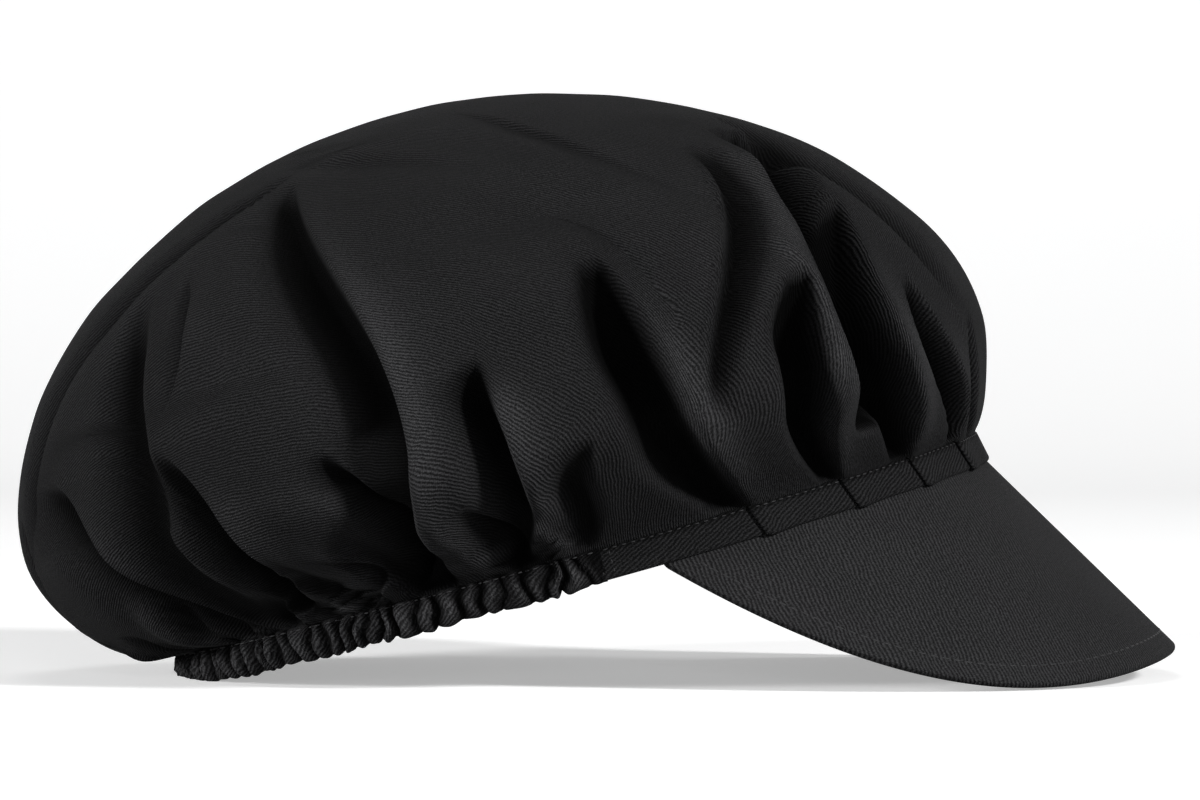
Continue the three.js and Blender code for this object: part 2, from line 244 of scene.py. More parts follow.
# %% [markdown]
# ## The folds
# Cloth that is held shorter than itself folds. A cloth simulation would find folds of its own, but this
# cap's folds start at its pleats and gathers, so a table places them. Each is a crest with a steep
# *wall* on one side, a flat *floor*, and a *valley* that comes up gently again. Its row says where
# the crest runs: its turns from the front, in degrees, at its *foot*, a third and two thirds of the way
# (*low* and *high*) and at its *tip*, and the rises where it starts and ends. *fade* is the rise over
# which it dies away. Widths and heights are in millimetres. *roll* leans the crest out over its wall, as
# a share of the wall, and *back* is a second crest behind the valley. *faces* is 1 where the valley lies
# towards the back of the cap, and -1 where it lies towards the front. The rows follow the wearer's right
# side; rows with two sides are on the left as well, a little turned and shallower.

# %% The table of folds
Fold = namedtuple(
    "Fold", "name foot low high tip start end fade depth crest wall floor valley back roll faces sides"
)
FOLDS = [
    Fold("first pleat", 65, 66, 67.5, 70, 0, 0.49, 0.17, 17, 4, 4, 7, 12, 0.5, 0.9, 1, 2),
    Fold("second pleat", 49.5, 49, 48.5, 46.5, 0, 0.39, 0.1, 15, 4, 3.5, 4, 9, 1, 0.9, 1, 2),
    Fold("third pleat", 34.5, 33, 34, 26.5, 0, 0.48, 0.2, 16, 4.5, 4, 5, 10, 0, 0.8, 1, 2),
    Fold("long ledge", 46, 47.5, 44, 30.5, 0.1, 0.63, 0.055, 20, 3, 3.5, 8, 10, 0, 0.9, -1, 1),
    Fold("fourth pleat", 20, 19.5, 24, 27, 0, 0.34, 0.16, 11, 3.5, 3, 3, 8, 0.5, 0.9, 1, 2),
    Fold("front pleat", 12, 14.5, 15, 14, 0, 0.26, 0.12, 4, 1.5, 3, 0, 6, 0, 0.8, 1, 2),
    Fold("junction fold", 87.5, 83, 81, 79, 0, 0.22, 0.09, 8, 2, 4.5, 2, 9, 1, 0.5, 1, 2),
    Fold("hood fold", 97, 89, 87.5, 89, 0, 0.38, 0.06, 11, 3.5, 3.5, 2, 12, 1.5, 0.8, 1, 2),
    Fold("long gather", 107, 98.5, 102.5, 121, 0, 0.77, 0.26, 12, 3.5, 4, 2, 21, 0, 0.6, 1, 2),
    Fold("small gather", 100, 94, 94.5, 95.5, 0, 0.16, 0.07, 7, 2, 3, 1, 5, 1, 0.6, 1, 1),
    Fold("round gather", 114, 104, 103.5, 109, 0, 0.3, 0.06, 7.5, 3, 3, 1, 9, 1.5, 0.8, 1, 2),
    Fold("low hollow", 119, 113.5, 112.5, 115, 0, 0.13, 0.07, 7, 1.5, 3, 1, 6, 0.8, 0.5, 1, 1),
    Fold("back gather", 131, 121.5, 123, 131, 0, 0.36, 0.12, 11, 3, 4, 2, 14, 0.5, 0.9, 1, 2),
    Fold("back ripple", 134, 126.5, 126, 130, 0, 0.31, 0.14, 6, 2, 4, 1, 8, 0.5, 0.6, 1, 1),
    Fold("thin crease", 131.5, 129.5, 130.5, 135, 0.41, 0.62, 0.07, 2.2, 1.2, 1.2, 0, 6, 0, 0.8, 1, 1),
    Fold("broad hollow", 133, 131.5, 134, 141, 0, 0.6, 0.3, 8, 0.5, 8, 3, 12, 0, 0, 1, 2),
    Fold("low gather", 137, 139, 143, 154, 0, 0.345, 0.1, 12, 3, 4, 3, 18, 0.5, 0.9, 1, 2),
    Fold("rear gather", 170, 166, 166, 170, 0, 0.3, 0.14, 6, 2, 5, 2, 10, 0.5, 0.8, 1, 1),
    Fold("top crease", 50.5, 55, 57.5, 59.5, 0.52, 0.86, 0.17, 2, 0.6, 3, 0, 9, 0, 0.5, 1, 1),
    Fold("soft dip", 69, 80, 93, 128, 0.66, 0.85, 0.12, 2, 0.5, 8, 2, 14, 0, 0, 1, 1),
    Fold("soft fall", 64.5, 63, 53, 42, 0.19, 0.62, 0.14, 9, 1.2, 6, 0, 11, 0, 0, -1, 1),
    Fold("parallel crease", 64.5, 65.5, 67, 73, 0.38, 0.57, 0.1, 1, 0.3, 1.2, 0, 5, 0, 0.5, 1, 1),
    Fold("first tuck", 104, 102.5, 102, 102.5, 0, 0.11, 0.04, 6, 2, 5, 1, 7, 1.5, 0.5, 1, 2),
    Fold("second tuck", 109.5, 108, 107.5, 108, 0, 0.09, 0.04, 6, 2, 5, 1, 7, 1.5, 0.5, 1, 2),
    Fold("third tuck", 124, 121, 120, 121, 0, 0.12, 0.05, 6, 2, 5, 1, 8, 1.5, 0.5, 1, 2),
    Fold("fourth tuck", 146, 145, 144, 145, 0, 0.13, 0.05, 6, 2, 5, 1, 8, 1.5, 0.5, 1, 2),
    Fold("fifth tuck", 157, 155, 154, 155, 0, 0.11, 0.05, 6, 2, 5, 1, 8, 1.5, 0.5, 1, 2),
    Fold("pressed back", 165, 158.5, 146.5, 126, 0.22, 0.8, 0.12, 4.5, 1.2, 1.5, 5, 10, 0.5, 0.8, 1, 1),
    Fold("pressed front", 19, 23.5, 24.5, 19, 0.26, 0.66, 0.12, 4, 1, 3, 4, 10, 0, 0.5, -1, 1),
]
CREST_REACH = 22.0
CREST_ROLL = 8.0
FLANK_POWER = 1.6
MOST_SLANT = math.radians(62)
FOOT_SHARE = 0.03
FOOT_RUN = 0.16
FOOT_POWER = 1.5
FOOT_WIDTH = 0.35
TIP_WIDTH = 0.2
RIDGE_FADE = 1.7
OTHER_SIDE_TURN = 3.0
OTHER_SIDE_DEPTH = 0.9
# painted shade: how deep into a fold the cloth is darkened, since little light gets down there
SHADE_REACH = 0.95
SHADE_FULL = 9.0
SHADE_DEPTH = 4.0

# %% One fold's course and section
Course = namedtuple("Course", "turn slant hollow ridge width")


def swell(share):
    """0 to 1: it starts at full slope and levels off."""
    share = np.clip(share, 0, 1)
    return share * (2 - share)


def fold_course(fold, side, rise, per_turn, per_rise):
    """Where a fold's crest runs at a rise: a cubic through its four turns. Side -1 is the right."""
    along = np.clip((rise - fold.start) / (fold.end - fold.start), 0, 1)
    other = OTHER_SIDE_TURN if side > 0 else 0
    stations = np.array([fold.foot, fold.low + other, fold.high + other, fold.tip + other])
    cubic = np.polyfit([0, 1 / 3, 2 / 3, 1], stations, 3)
    turn = np.radians(np.polyval(cubic, along))
    slope = np.radians(np.polyval(np.polyder(cubic), along)) / (fold.end - fold.start)
    slant = np.clip(np.arctan(slope * per_turn / per_rise), -MOST_SLANT, MOST_SLANT)
    foot_fade = FOOT_RUN if fold.start == 0 else 2 * fold.fade
    growth = 1 - (1 - np.clip((rise - fold.start) / foot_fade, 0, 1)) ** FOOT_POWER
    taper = swell((fold.end - rise) / fold.fade)
    foot = lerp(FOOT_SHARE, 1.0, growth) if fold.start == 0 else ease((rise - fold.start) / foot_fade)
    ridge = foot * ease((fold.end - rise) / (RIDGE_FADE * fold.fade))
    hollow = (foot if fold.start == 0 else growth) * taper
    width = lerp(FOOT_WIDTH, 1.0, growth) * lerp(TIP_WIDTH, 1.0, taper)
    return Course(turn, slant, hollow, ridge, width)


def wall_width(fold, width):
    return fold.wall * (1 + width) / 2


def fold_section(ahead, fold, width):
    """Depth, height of the ridges and lean, at a way ahead of the crest; below 0 is its wall's side."""
    wall = wall_width(fold, width)
    valley = fold.valley * width
    before = 1 - lerp(ease(ahead / CREST_REACH), ease(ahead / CREST_ROLL), 0.5)
    in_wall = 1 - ease(-ahead / wall)
    behind = -ahead - wall - fold.floor * width
    flank = (1 - np.clip(behind / valley, 0, 1)) ** FLANK_POWER
    depth = np.where(ahead >= 0, 0.0, np.where(ahead > -wall, 1 - in_wall, flank)) * fold.depth
    crest = np.where(ahead >= 0, before, np.where(ahead > -wall, in_wall, 0.0))
    second = fold.back * ease(behind / valley) * (1 - ease((behind - valley) / CREST_REACH))
    return depth, crest * fold.crest + second, crest * fold.roll * wall


def fold_move(fold, side, turn, rise, patch):
    """How one fold moves the cloth from the smooth form, how much painted shade it gives there, and its
    ridges' height.
    """
    course = fold_course(fold, side, rise, patch.per_turn, patch.per_rise)
    offset = side * turn - course.turn
    offset = np.arctan2(np.sin(offset), np.cos(offset))
    cos_slant, sin_slant = np.cos(course.slant), np.sin(course.slant)
    ahead = -offset * patch.per_turn * cos_slant * fold.faces
    depth, height, lean = fold_section(ahead, fold, course.width)
    less = OTHER_SIDE_DEPTH if side > 0 else 1.0
    out = (course.ridge * height - course.hollow * depth) * less
    across = -side * cos_slant[..., None] * patch.round + sin_slant[..., None] * patch.up
    move = patch.out * out[..., None] - across * (fold.faces * course.ridge * less * lean)[..., None]
    # painted shade: the cloth is darkened down in the fold's wall and valley
    deep = ease(depth / min(fold.depth * SHADE_REACH, SHADE_FULL))
    dark = deep * ease(course.hollow * less * fold.depth / SHADE_DEPTH)
    return move, dark, course.ridge * less * height


# %% [markdown]
# ## Ruches
# The elastic draws the casing into small ruches, a few millimetres apart and never quite even. The
# crown just above has to follow them, so one function gives both pieces the same ruches.

# %% The ruches of the elastic
RUCHES = 66
RUCHE_OUT = 1.9
RUCHE_ROUND = 0.75
WRINKLE_SHARE = 0.3
RUCHE_ENDS = 0.04
PUCKER_ENDS = 0.06
PUCKER_DOUBLE = 2.1
DOUBLE_SHARE = 0.4

Ripple = namedtuple("Ripple", "wave swing drift")
WRINKLES = Ripple(8.6, 2, 0.7)
PUCKERS = Ripple(1.9, 1.3, 0.37)


def ripple(x, kind):
    """A wave whose length drifts, so that no two crests are alike."""
    return np.sin(kind.wave * x + kind.swing * np.sin(kind.drift * x))


rng = np.random.default_rng(7)
ruche_steps = rng.uniform(0.6, 1.5, RUCHES)
elastic_turn = 2 * math.pi - 2 * ELASTIC_FROM
ruche_turns = ELASTIC_FROM + running(ruche_steps) / ruche_steps.sum() * elastic_turn
ruche_size = rng.uniform(0.3, 1.4, RUCHES + 1)


def ruche_phase(turn, ends):
    """How many ruches along the elastic a turn is, and 1 on the elastic or 0 off it."""
    around = np.mod(turn, 2 * math.pi)
    phase = np.interp(around, ruche_turns, np.arange(RUCHES + 1))
    inside = ease((around - ELASTIC_FROM) / ends) * ease((2 * math.pi - ELASTIC_FROM - around) / ends)
    return phase, inside


def ruche(turn):
    """-1 in the creases to about 1 on the ruches; 0 at the front, where there is no elastic."""
    phase, inside = ruche_phase(turn, RUCHE_ENDS)
    size = np.interp(np.mod(turn, 2 * math.pi), ruche_turns, ruche_size)
    puff = 2 * np.abs(np.sin(math.pi * phase)) ** RUCHE_ROUND - 1
    puff += WRINKLE_SHARE * ripple(phase, WRINKLES)
    return puff * size * inside


def pucker(turn):
    """A slower ripple over the ruches, for the gathers that they run into."""
    phase, inside = ruche_phase(turn, PUCKER_ENDS)
    double = np.sin(PUCKER_DOUBLE * PUCKERS.wave * phase + 1)
    return inside * (ripple(phase, PUCKERS) + DOUBLE_SHARE * double)


# %% [markdown]
# ## The pleats at the front
# The front of the cap is pleated: at four places on each side the cloth laps over itself. The layers
# on top push the cloth out a little, on the hem and on the foot of the crown alike.

# %% The laps of the pleats
PLEAT_LAP = 1.1
PLEAT_RUN = 12.0
PLEAT_SLANT = 2.6
BAND_WALL = 2.0
BAND_FOOT_OUT = 0.6
BAND_TOP_IN = 1.0
PLEATS = [65.0, 49.5, 35.0, 20.0]
PLEAT_SIDES = [(-1, PLEATS), (1, [turn + OTHER_SIDE_TURN for turn in PLEATS])]


RIM_TURNS = np.linspace(0, math.pi, 721)
RIM_LENGTHS = running(step_lengths(rim_point(RIM_TURNS, 0 * RIM_TURNS, 0.0)))


def along_rim(turn):
    """Length of the rim's oval from the front to a turn, with the turn's sign."""
    return np.sign(turn) * np.interp(np.abs(turn), RIM_TURNS, RIM_LENGTHS)


def turn_at(length):
    return np.sign(length) * np.interp(np.abs(length), RIM_LENGTHS, RIM_TURNS)


LapPoint = namedtuple("LapPoint", "along out")
LAP = [
    LapPoint(-3.2, 0), LapPoint(-1.2, -0.02), LapPoint(0.2, -0.12), LapPoint(1.1, -0.3),
    LapPoint(0.6, -0.02), LapPoint(-0.1, 0.1), LapPoint(-0.5, 0.35), LapPoint(-0.55, 0.7),
    LapPoint(-0.3, 1), LapPoint(0.3, 1.14), LapPoint(1.2, 1.16), LapPoint(2.6, 1.1),
]


def lap_out(length, side):
    """How far the layers on top of each other push the cloth out, at a length along the rim."""
    out = np.zeros_like(length)
    for turn in dict(PLEAT_SIDES)[side]:
        ahead = along_rim(math.radians(turn)) - np.abs(length)
        out += np.where(ahead > 0, PLEAT_LAP * (1 - ease(ahead / PLEAT_RUN)), 0.0)
    return out


def lap_at(turn):
    """How far the laps push the cloth out at a turn, on whichever side it is."""
    length = along_rim(turn)
    return np.where(turn < 0, lap_out(length, -1), lap_out(length, 1))


# %% [markdown]
# ## Laying the cloth
# The round of cloth is a grid: rings from the neck to the top and columns round it. The columns follow
# the crests and the feet of the walls, so that each fold keeps a clean edge, and bunch up in the walls.
# An even grid would need several times as many points for edges as crisp.

# %% The columns of the crown
COLUMN_STEP = math.radians(1.05)
COLUMN_RISE = 0.19
WALL_COLUMNS = 4
GUIDE_FADE = 0.08
GUIDE_GAP = math.radians(0.16)
SOFT_WALL = 5.0
HOLD = 0.3
HOLD_MOST = 1.0005
CLOSER = 0.55
CLOSER_POWER = 1.5
ROWS = 104


def crown_guides(side, rises):
    """Turn and pull of each crest and wall foot, at every rise."""
    guides = []
    crisp = [fold for fold in FOLDS if fold.wall < SOFT_WALL and (side < 0 or fold.sides == 2)]
    for fold in sorted(crisp, key=lambda fold: fold.foot):
        patch = crown_patch(np.full_like(rises, side * math.radians(fold.low)), np.maximum(rises, 0.01))
        course = fold_course(fold, side, rises, patch.per_turn, patch.per_rise)
        across = wall_width(fold, course.width) / (patch.per_turn * np.cos(course.slant))
        pull = 1 - ease(np.maximum(fold.start - rises, rises - fold.end) / GUIDE_FADE)
        pair = [(course.turn, pull), (course.turn + fold.faces * across, pull)]
        guides.extend(pair if fold.faces > 0 else reversed(pair))
    return guides


def side_turns(side, rises):
    """The columns of one side at every rise, from the front to the back."""
    guides = crown_guides(side, rises)
    at_rise = int(np.searchsorted(-rises, -COLUMN_RISE))
    places = [0.0] + [turn[at_rise] for turn, pull in guides] + [math.pi]
    spares = [max(round((b - a) / COLUMN_STEP) - 1, 0) for a, b in zip(places, places[1:])]
    for i in range(1, len(spares) - 1, 2):
        spares[i] = max(spares[i], WALL_COLUMNS)
    index = running(np.array(spares) + 1)
    columns = np.empty((len(rises), index[-1]))
    ties = 1 / np.diff(index)
    spring = np.diag(np.append(ties, 0) + np.append(0, ties)) - np.diag(ties, 1) - np.diag(ties, -1)
    for row in range(len(rises)):
        turns = np.array([0.0] + [turn[row] for turn, pull in guides] + [math.pi])
        pulls = np.array([1.0] + [pull[row] for turn, pull in guides] + [1.0])
        held = HOLD * pulls / (HOLD_MOST - pulls)
        turns = np.linalg.solve(spring + np.diag(held), held * turns)
        for i in range(1, len(turns) - 1):
            turns[i] = max(turns[i], turns[i - 1] + GUIDE_GAP * (index[i] - index[i - 1]))
        columns[row] = np.interp(np.arange(index[-1]), index, turns)
    return columns


def even_rises(count):
    """Rises that are evenly spaced up the cloth, and closer together at the foot."""
    rises = np.linspace(0, 1, 2000)
    path = crown_form(np.full_like(rises, -math.pi / 2), rises)
    length = running(step_lengths(path))
    share = np.linspace(0, 1, count)
    wanted = lerp(share, share**CLOSER_POWER, CLOSER)
    return np.interp(wanted * length[-1], length, rises)[::-1]


rises = even_rises(ROWS)
left, right = side_turns(1, rises), side_turns(-1, rises)
turns = np.concatenate([left, np.full((ROWS, 1), math.pi), -right[:, :0:-1]], axis=1)
COLUMNS = turns.shape[1]
print("crown grid", ROWS, "by", COLUMNS)

# %% [markdown]
# ## Where each point of the cloth goes
# A point starts on the smooth form, every fold moves it, and low, broad waves from a noise keep the
# open stretches from looking turned on a lathe. Little light gets down into a fold, so each point also
# keeps a *shade* for the material: painted shade down in the folds, and a painted highlight on the crests.

# %% The folded cloth
WAVE_SIZE = 38.0
WAVE_HIGH = 1.3
WAVE_SEED = 3.1
WAVE_RISE = 0.12
CRINKLE_SIZE = 13.0
CRINKLE_HIGH = 0.3
CRINKLE_SEED = 9.7
FOOT_RISE = 0.02
LAP_RISE = 0.05
RUCHE_SHARE = 0.8
RUCHE_RISES = (0.04, 0.12)
RUCHE_RIPPLE = Ripple(23, 3, 7)
GATHER_OUT = 3.6
GATHER_RISES = (0.07, 0.2)
GATHER_RIPPLE = Ripple(9, 2, 5)
STAND_UP = 6.0
STAND_REACH = 5.0
STAND_FREE = 2.6
STAND_SOFT = 2.5
STAND_SHIFT = 0.93
STAND_BLEND = 0.3
SHADE_LOSS = 0.96
# painted shade in the creases of the gathers and ruches
GATHER_SHADE = 2.5
RUCHE_SHADE = 0.9
# painted highlight: the crests and gathers are painted paler, as where they catch the light
CREST_PAINTED_HIGHLIGHT = 1.2
PAINTED_HIGHLIGHT_FULL = 3.5
PAINTED_HIGHLIGHT_GATHER = 1.5


def noise_at(points, size, seed):
    flat = (points / size).reshape(-1, 3)
    values = [noise.noise(Vector(point) + Vector((seed, 2 * seed, 0))) for point in flat.tolist()]
    return np.array(values).reshape(points.shape[:-1])


def fold_cloth(turn, rise, patch):
    """All the folds together: how they move the cloth, how well it is lit, and its highest ridge."""
    moved = np.zeros_like(patch.place)
    lit, ridge = np.ones_like(turn), np.zeros_like(turn)
    for fold in FOLDS:
        for side in (-1, 1)[: fold.sides]:
            move, dark, high = fold_move(fold, side, turn, rise, patch)
            moved += move
            lit *= 1 - dark
            ridge = np.maximum(ridge, high)
    return moved, lit, ridge


def stand_over_hem(laid, turn, rise):
    """Lifts cloth that bulges out over the hem, so that it stands up from it and never hangs below."""
    beyond = np.linalg.norm((laid - crown_form(turn, 0 * rise))[..., :2], axis=-1)
    beyond = np.maximum(beyond - STAND_FREE, 0)
    stand = STAND_UP * (1 - np.exp(-beyond / STAND_REACH)) * ease((np.cos(turn) + STAND_SHIFT) / STAND_BLEND)
    over = laid[..., 2] - NECK_UP - stand
    laid[..., 2] = NECK_UP + stand + (over + np.sqrt(over**2 + STAND_SOFT * ease(rise / FOOT_RISE))) / 2


def lay_crown(turn, rise):
    """Place of each point of the cloth, and its painted shade: 0 is black, 1 is the cloth's own tone, and
    above 1 is a painted highlight.
    """
    patch = crown_patch(turn, rise)
    moved, lit, ridge = fold_cloth(turn, rise, patch)
    wave = WAVE_HIGH * noise_at(patch.place, WAVE_SIZE, WAVE_SEED)
    wave = wave + CRINKLE_HIGH * noise_at(patch.place, CRINKLE_SIZE, CRINKLE_SEED)
    near_foot = 1 - ease(rise / LAP_RISE)
    near_elastic = 1 - ease(rise / lerp(*RUCHE_RISES, 0.5 + 0.5 * ripple(turn, RUCHE_RIPPLE)))
    tall = lerp(*GATHER_RISES, 0.5 + 0.5 * ripple(turn, GATHER_RIPPLE))
    gathers = GATHER_OUT * pucker(turn) * ease(rise / FOOT_RISE) * (1 - ease((rise - FOOT_RISE) / tall))
    height = wave * ease(rise / WAVE_RISE) + RUCHE_OUT * ruche(turn) * near_elastic * RUCHE_SHARE + gathers
    lapped = rim_out(turn) * (lap_at(turn) * near_foot * (np.abs(turn) < ELASTIC_FROM))[..., None]
    laid = patch.place + moved + patch.out * height[..., None] + lapped
    stand_over_hem(laid, turn, rise)
    # painted shade: the cloth is darkened in the creases between the gathers and ruches
    crease_painted_shade = ease(-gathers / GATHER_SHADE) + ease(-ruche(turn) / RUCHE_SHADE) * near_elastic
    lit *= 1 - np.minimum(crease_painted_shade, 1)
    # painted highlight on the crests of the folds and gathers
    painted_highlight = ease(np.maximum(ridge, gathers * PAINTED_HIGHLIGHT_GATHER) / PAINTED_HIGHLIGHT_FULL)
    return laid, 1 - SHADE_LOSS * (1 - lit) + CREST_PAINTED_HIGHLIGHT * painted_highlight * lit


grid_rise = np.broadcast_to(rises[:, None], turns.shape)
crown_points, crown_shade = lay_crown(turns, grid_rise)
crown_points[0] = [TOP_MID, 0, TOP_UP]

# %% [markdown]
# ## The flat round of cloth
# The pattern piece is a disc. Its radius at each ring is the length of cloth up to there, and each
# ring's points lie as far round it as they lie along the folded ring. That flat place becomes the UV
# map, so that the twill runs straight across the disc, and turns with the cloth as real twill does.

# %% The cloth's own map
MAP_TURNS = 721
LENGTH_ROUNDS = 160
TURN_ROUNDS = 260
RELAX_ROUNDS = 120
RELAX_STEP = 0.3
EVEN_ROUNDS = 12


def smooth_round(values, rounds):
    """Evens out rows of values round the crown, in each ring."""
    for _ in range(rounds):
        values = (np.roll(values, 1, axis=1) + 2 * values + np.roll(values, -1, axis=1)) / 4
    return values


def smooth_up(values, rounds):
    """Evens out columns of values up the crown; the first and last ring stay."""
    for _ in range(rounds):
        values[1:-1] = (values[:-2] + 2 * values[1:-1] + values[2:]) / 4
    return values


def cloth_map(points, turns):
    """A flat place for each point: as far out as its column is long, and turned by its share of the ring."""
    length = np.concatenate([np.zeros((1, points.shape[1])), np.cumsum(step_lengths(points), axis=0)])
    ring = np.linalg.norm(np.roll(points, -1, axis=1) - points, axis=2)
    share = np.cumsum(ring, axis=1) - ring
    share /= ring.sum(axis=1, keepdims=True) + 1e-9
    share[0] = share[1]
    turns = np.mod(turns, 2 * math.pi)
    even = np.linspace(0, 2 * math.pi, MAP_TURNS)
    closed = [(np.append(row, 2 * math.pi), np.append(part, 1.0)) for row, part in zip(turns, share)]
    whole = smooth_up(np.array([np.interp(even, row, part) for row, part in closed]), TURN_ROUNDS)
    long = [np.interp(even, row, part, period=2 * math.pi) for row, part in zip(turns, length)]
    long = smooth_round(np.array(long)[:, :-1], LENGTH_ROUNDS)
    long = np.concatenate([long, long[:, :1]], axis=1)
    angle = 2 * math.pi * np.array([np.interp(row, even, part) for row, part in zip(turns, whole)])
    radius = np.array([np.interp(row, even, part) for row, part in zip(turns, long)])
    return stack(radius * np.cos(angle), radius * np.sin(angle), 0.0)


def relax(start, points):
    """Moves flat points a little at a time, until the lengths between them are the laid cloth's."""
    flat = start.copy()
    links = [(0, 1), (1, 0), (1, 1), (1, -1)]
    spans = []
    for down, along in links:
        beyond = np.roll(points, -along, axis=1)[down:]
        spans.append(np.linalg.norm(beyond - points[: len(points) - down], axis=2))
    for _ in range(RELAX_ROUNDS):
        push = np.zeros_like(flat)
        for (down, along), span in zip(links, spans):
            rows = len(flat) - down
            gap = np.roll(flat, -along, axis=1)[down:] - flat[:rows]
            length = np.linalg.norm(gap, axis=2) + 1e-9
            pull = gap * ((length - span) / length * 0.5)[..., None]
            push[:rows] += pull
            push[down:] -= np.roll(pull, along, axis=1)
        flat[1:] += push[1:] * RELAX_STEP
    moved = flat - start
    for _ in range(EVEN_ROUNDS):
        moved = smooth_up(smooth_round(moved, 1), 1)
    return start + moved


crown_cloth = relax(cloth_map(crown_points, turns), crown_points)

# %% From a bmesh to a piece
def as_piece(shape, name):
    mesh = bpy.data.meshes.new(name)
    shape.to_mesh(mesh)
    shape.free()
    piece = bpy.data.objects.new(name, mesh)
    bpy.context.scene.collection.objects.link(piece)
    print(name, len(mesh.polygons), "faces")
    return piece


# %% The disc that is cut and laid
JOIN_WITHIN = 1e-4


def spin(shape, angle, steps, use_merge):
    """Spins a shape round the upright axis, and joins the points that meet."""
    bmesh.ops.spin(
        shape, geom=shape.verts[:] + shape.edges[:], cent=(0, 0, 0), axis=(0, 0, 1), dvec=(0, 0, 0),
        angle=angle, steps=steps, use_merge=use_merge, use_normal_flip=False, use_duplicate=False,
    )
    bmesh.ops.remove_doubles(shape, verts=shape.verts[:], dist=JOIN_WITHIN)


def cut_disc(rows, columns):
    """A flat disc: one straight cut from the middle to the edge, spun all the way round."""
    cut = bmesh.new()
    middle, edge = cut.verts.new((0, 0, 0)), cut.verts.new((rows - 1, 0, 0))
    line = cut.edges.new((middle, edge))
    bmesh.ops.subdivide_edges(cut, edges=[line], cuts=rows - 2)
    spin(cut, 2 * math.pi, columns, use_merge=True)
    return cut


def lay_disc(cut, points, flat, shade, name):
    """Moves each point of the disc to its place, and keeps its flat place as the UV map."""
    rows, columns = points.shape[:2]
    uv = cut.loops.layers.uv.new("cloth")
    light = cut.verts.layers.float.new("shade")
    spot = {}
    for vert in cut.verts:
        row = round(vert.co.length)
        column = round(math.atan2(vert.co.y, vert.co.x) / (2 * math.pi) * columns) % columns
        spot[vert] = (row, column)
        vert.co = points[row, column]
        vert[light] = shade[row, column]
    for face in cut.faces:
        face.smooth = True
        for loop in face.loops:
            row, column = spot[loop.vert]
            loop[uv].uv = flat[row, column, :2] * MM
    bmesh.ops.recalc_face_normals(cut, faces=cut.faces[:])
    return as_piece(cut, name)


crown = lay_disc(cut_disc(ROWS, COLUMNS), on_table(crown_points), crown_cloth, crown_shade, "crown_cloth")

# %% [markdown]
# ## Rings that are swept round the rim
# The hem at the front, the elastic's casing and the peak are each a closed ring of points, swept along
# a run of steps. A curve with a bevel would do for an even tube, but these sections change all the way
# along, so a circle is spun instead, and then each of its points is moved to its place.

# %% A ring swept round the rim
SWEEP_TURN = math.radians(300)


def sweep_ring(name, places, flat, shade=None):
    """A closed ring swept along a run of steps, with both ends closed: places is steps by ring by 3."""
    steps, ring = places.shape[:2]
    swept = bmesh.new()
    upright = Matrix.Translation((1, 0, 0)) @ Matrix.Rotation(math.pi / 2, 4, "X")
    bmesh.ops.create_circle(swept, cap_ends=False, segments=ring, radius=0.5, matrix=upright)
    spin(swept, SWEEP_TURN, steps - 1, use_merge=False)
    uv = swept.loops.layers.uv.new("cloth")
    light = swept.verts.layers.float.new("shade")
    spot = {}
    for vert in swept.verts:
        x, y, z = vert.co
        step = round((math.atan2(y, x) + 0.001) % (2 * math.pi) / SWEEP_TURN * (steps - 1))
        place = round(math.atan2(z, math.hypot(x, y) - 1) / (2 * math.pi) * ring) % ring
        spot[vert] = (step, place)
    for vert, (step, place) in spot.items():
        vert.co = places[step, place]
        vert[light] = 1.0 if shade is None else shade[step, place]
    for face in swept.faces:
        face.smooth = True
        spots = [spot[loop.vert] for loop in face.loops]
        over_end = max(place for step, place in spots) - min(place for step, place in spots) > 1
        for loop, (step, place) in zip(face.loops, spots):
            loop[uv].uv = flat[step, ring if over_end and place == 0 else place] * MM
    bmesh.ops.holes_fill(swept, edges=[edge for edge in swept.edges if edge.is_boundary], sides=0)
    bmesh.ops.recalc_face_normals(swept, faces=swept.faces[:])
    return as_piece(swept, name)


# %% [markdown]
# ## The hem at the front
# At the front the hem is a flat strip. At each pleat the cloth from the front laps over the cloth
# behind. Seen from above, the strip's outer face runs along the rim and turns back there, under the
# layer in front. Following that small Z in steps gives a real fold edge, with a real gap under it.

# %% The course of the hem
HEM_STEP = 1.3
LAP_CLEAR = 0.6
JUST_BEYOND = 0.01


def plain_course(start, end, side):
    """The course between two pleats: lengths along the rim, each with its way out."""
    along = np.arange(start, end, HEM_STEP)
    return list(zip(along, lap_out(along, side)))


def hem_course(side):
    """Points (length along the rim, way out) from the front to where the elastic starts."""
    edges = [float(along_rim(math.radians(turn))) for turn in reversed(dict(PLEAT_SIDES)[side])]
    end = float(along_rim(ELASTIC_FROM))
    rows = []
    start = 0.0
    for edge in edges:
        rows += plain_course(start, edge - LAP[-1].along - LAP_CLEAR, side)
        under = lap_out(np.array([edge + JUST_BEYOND]), side)[0]
        rows += [(edge - p.along, under + p.out) for p in reversed(LAP)]
        start = edge - LAP[0].along + HEM_STEP
    rows += plain_course(start, end, side)
    rows.append((end, 0.0))
    return np.array(rows)


# %% The hem's section
SectionPoint = namedtuple("SectionPoint", "depth up")
BAND_ROUND = 0.9
SLANT_REACH = 5
SLANT_FULL = 0.3
LAP_DROP = 0.5
LAP_DROP_MOST = 1.2
# painted shade along the top of the hem, where the crown meets it at the seam
SEAM_PAINTED_SHADE = 0.65
SEAM_FROM = 6.0
SEAM_BLEND = 1.2


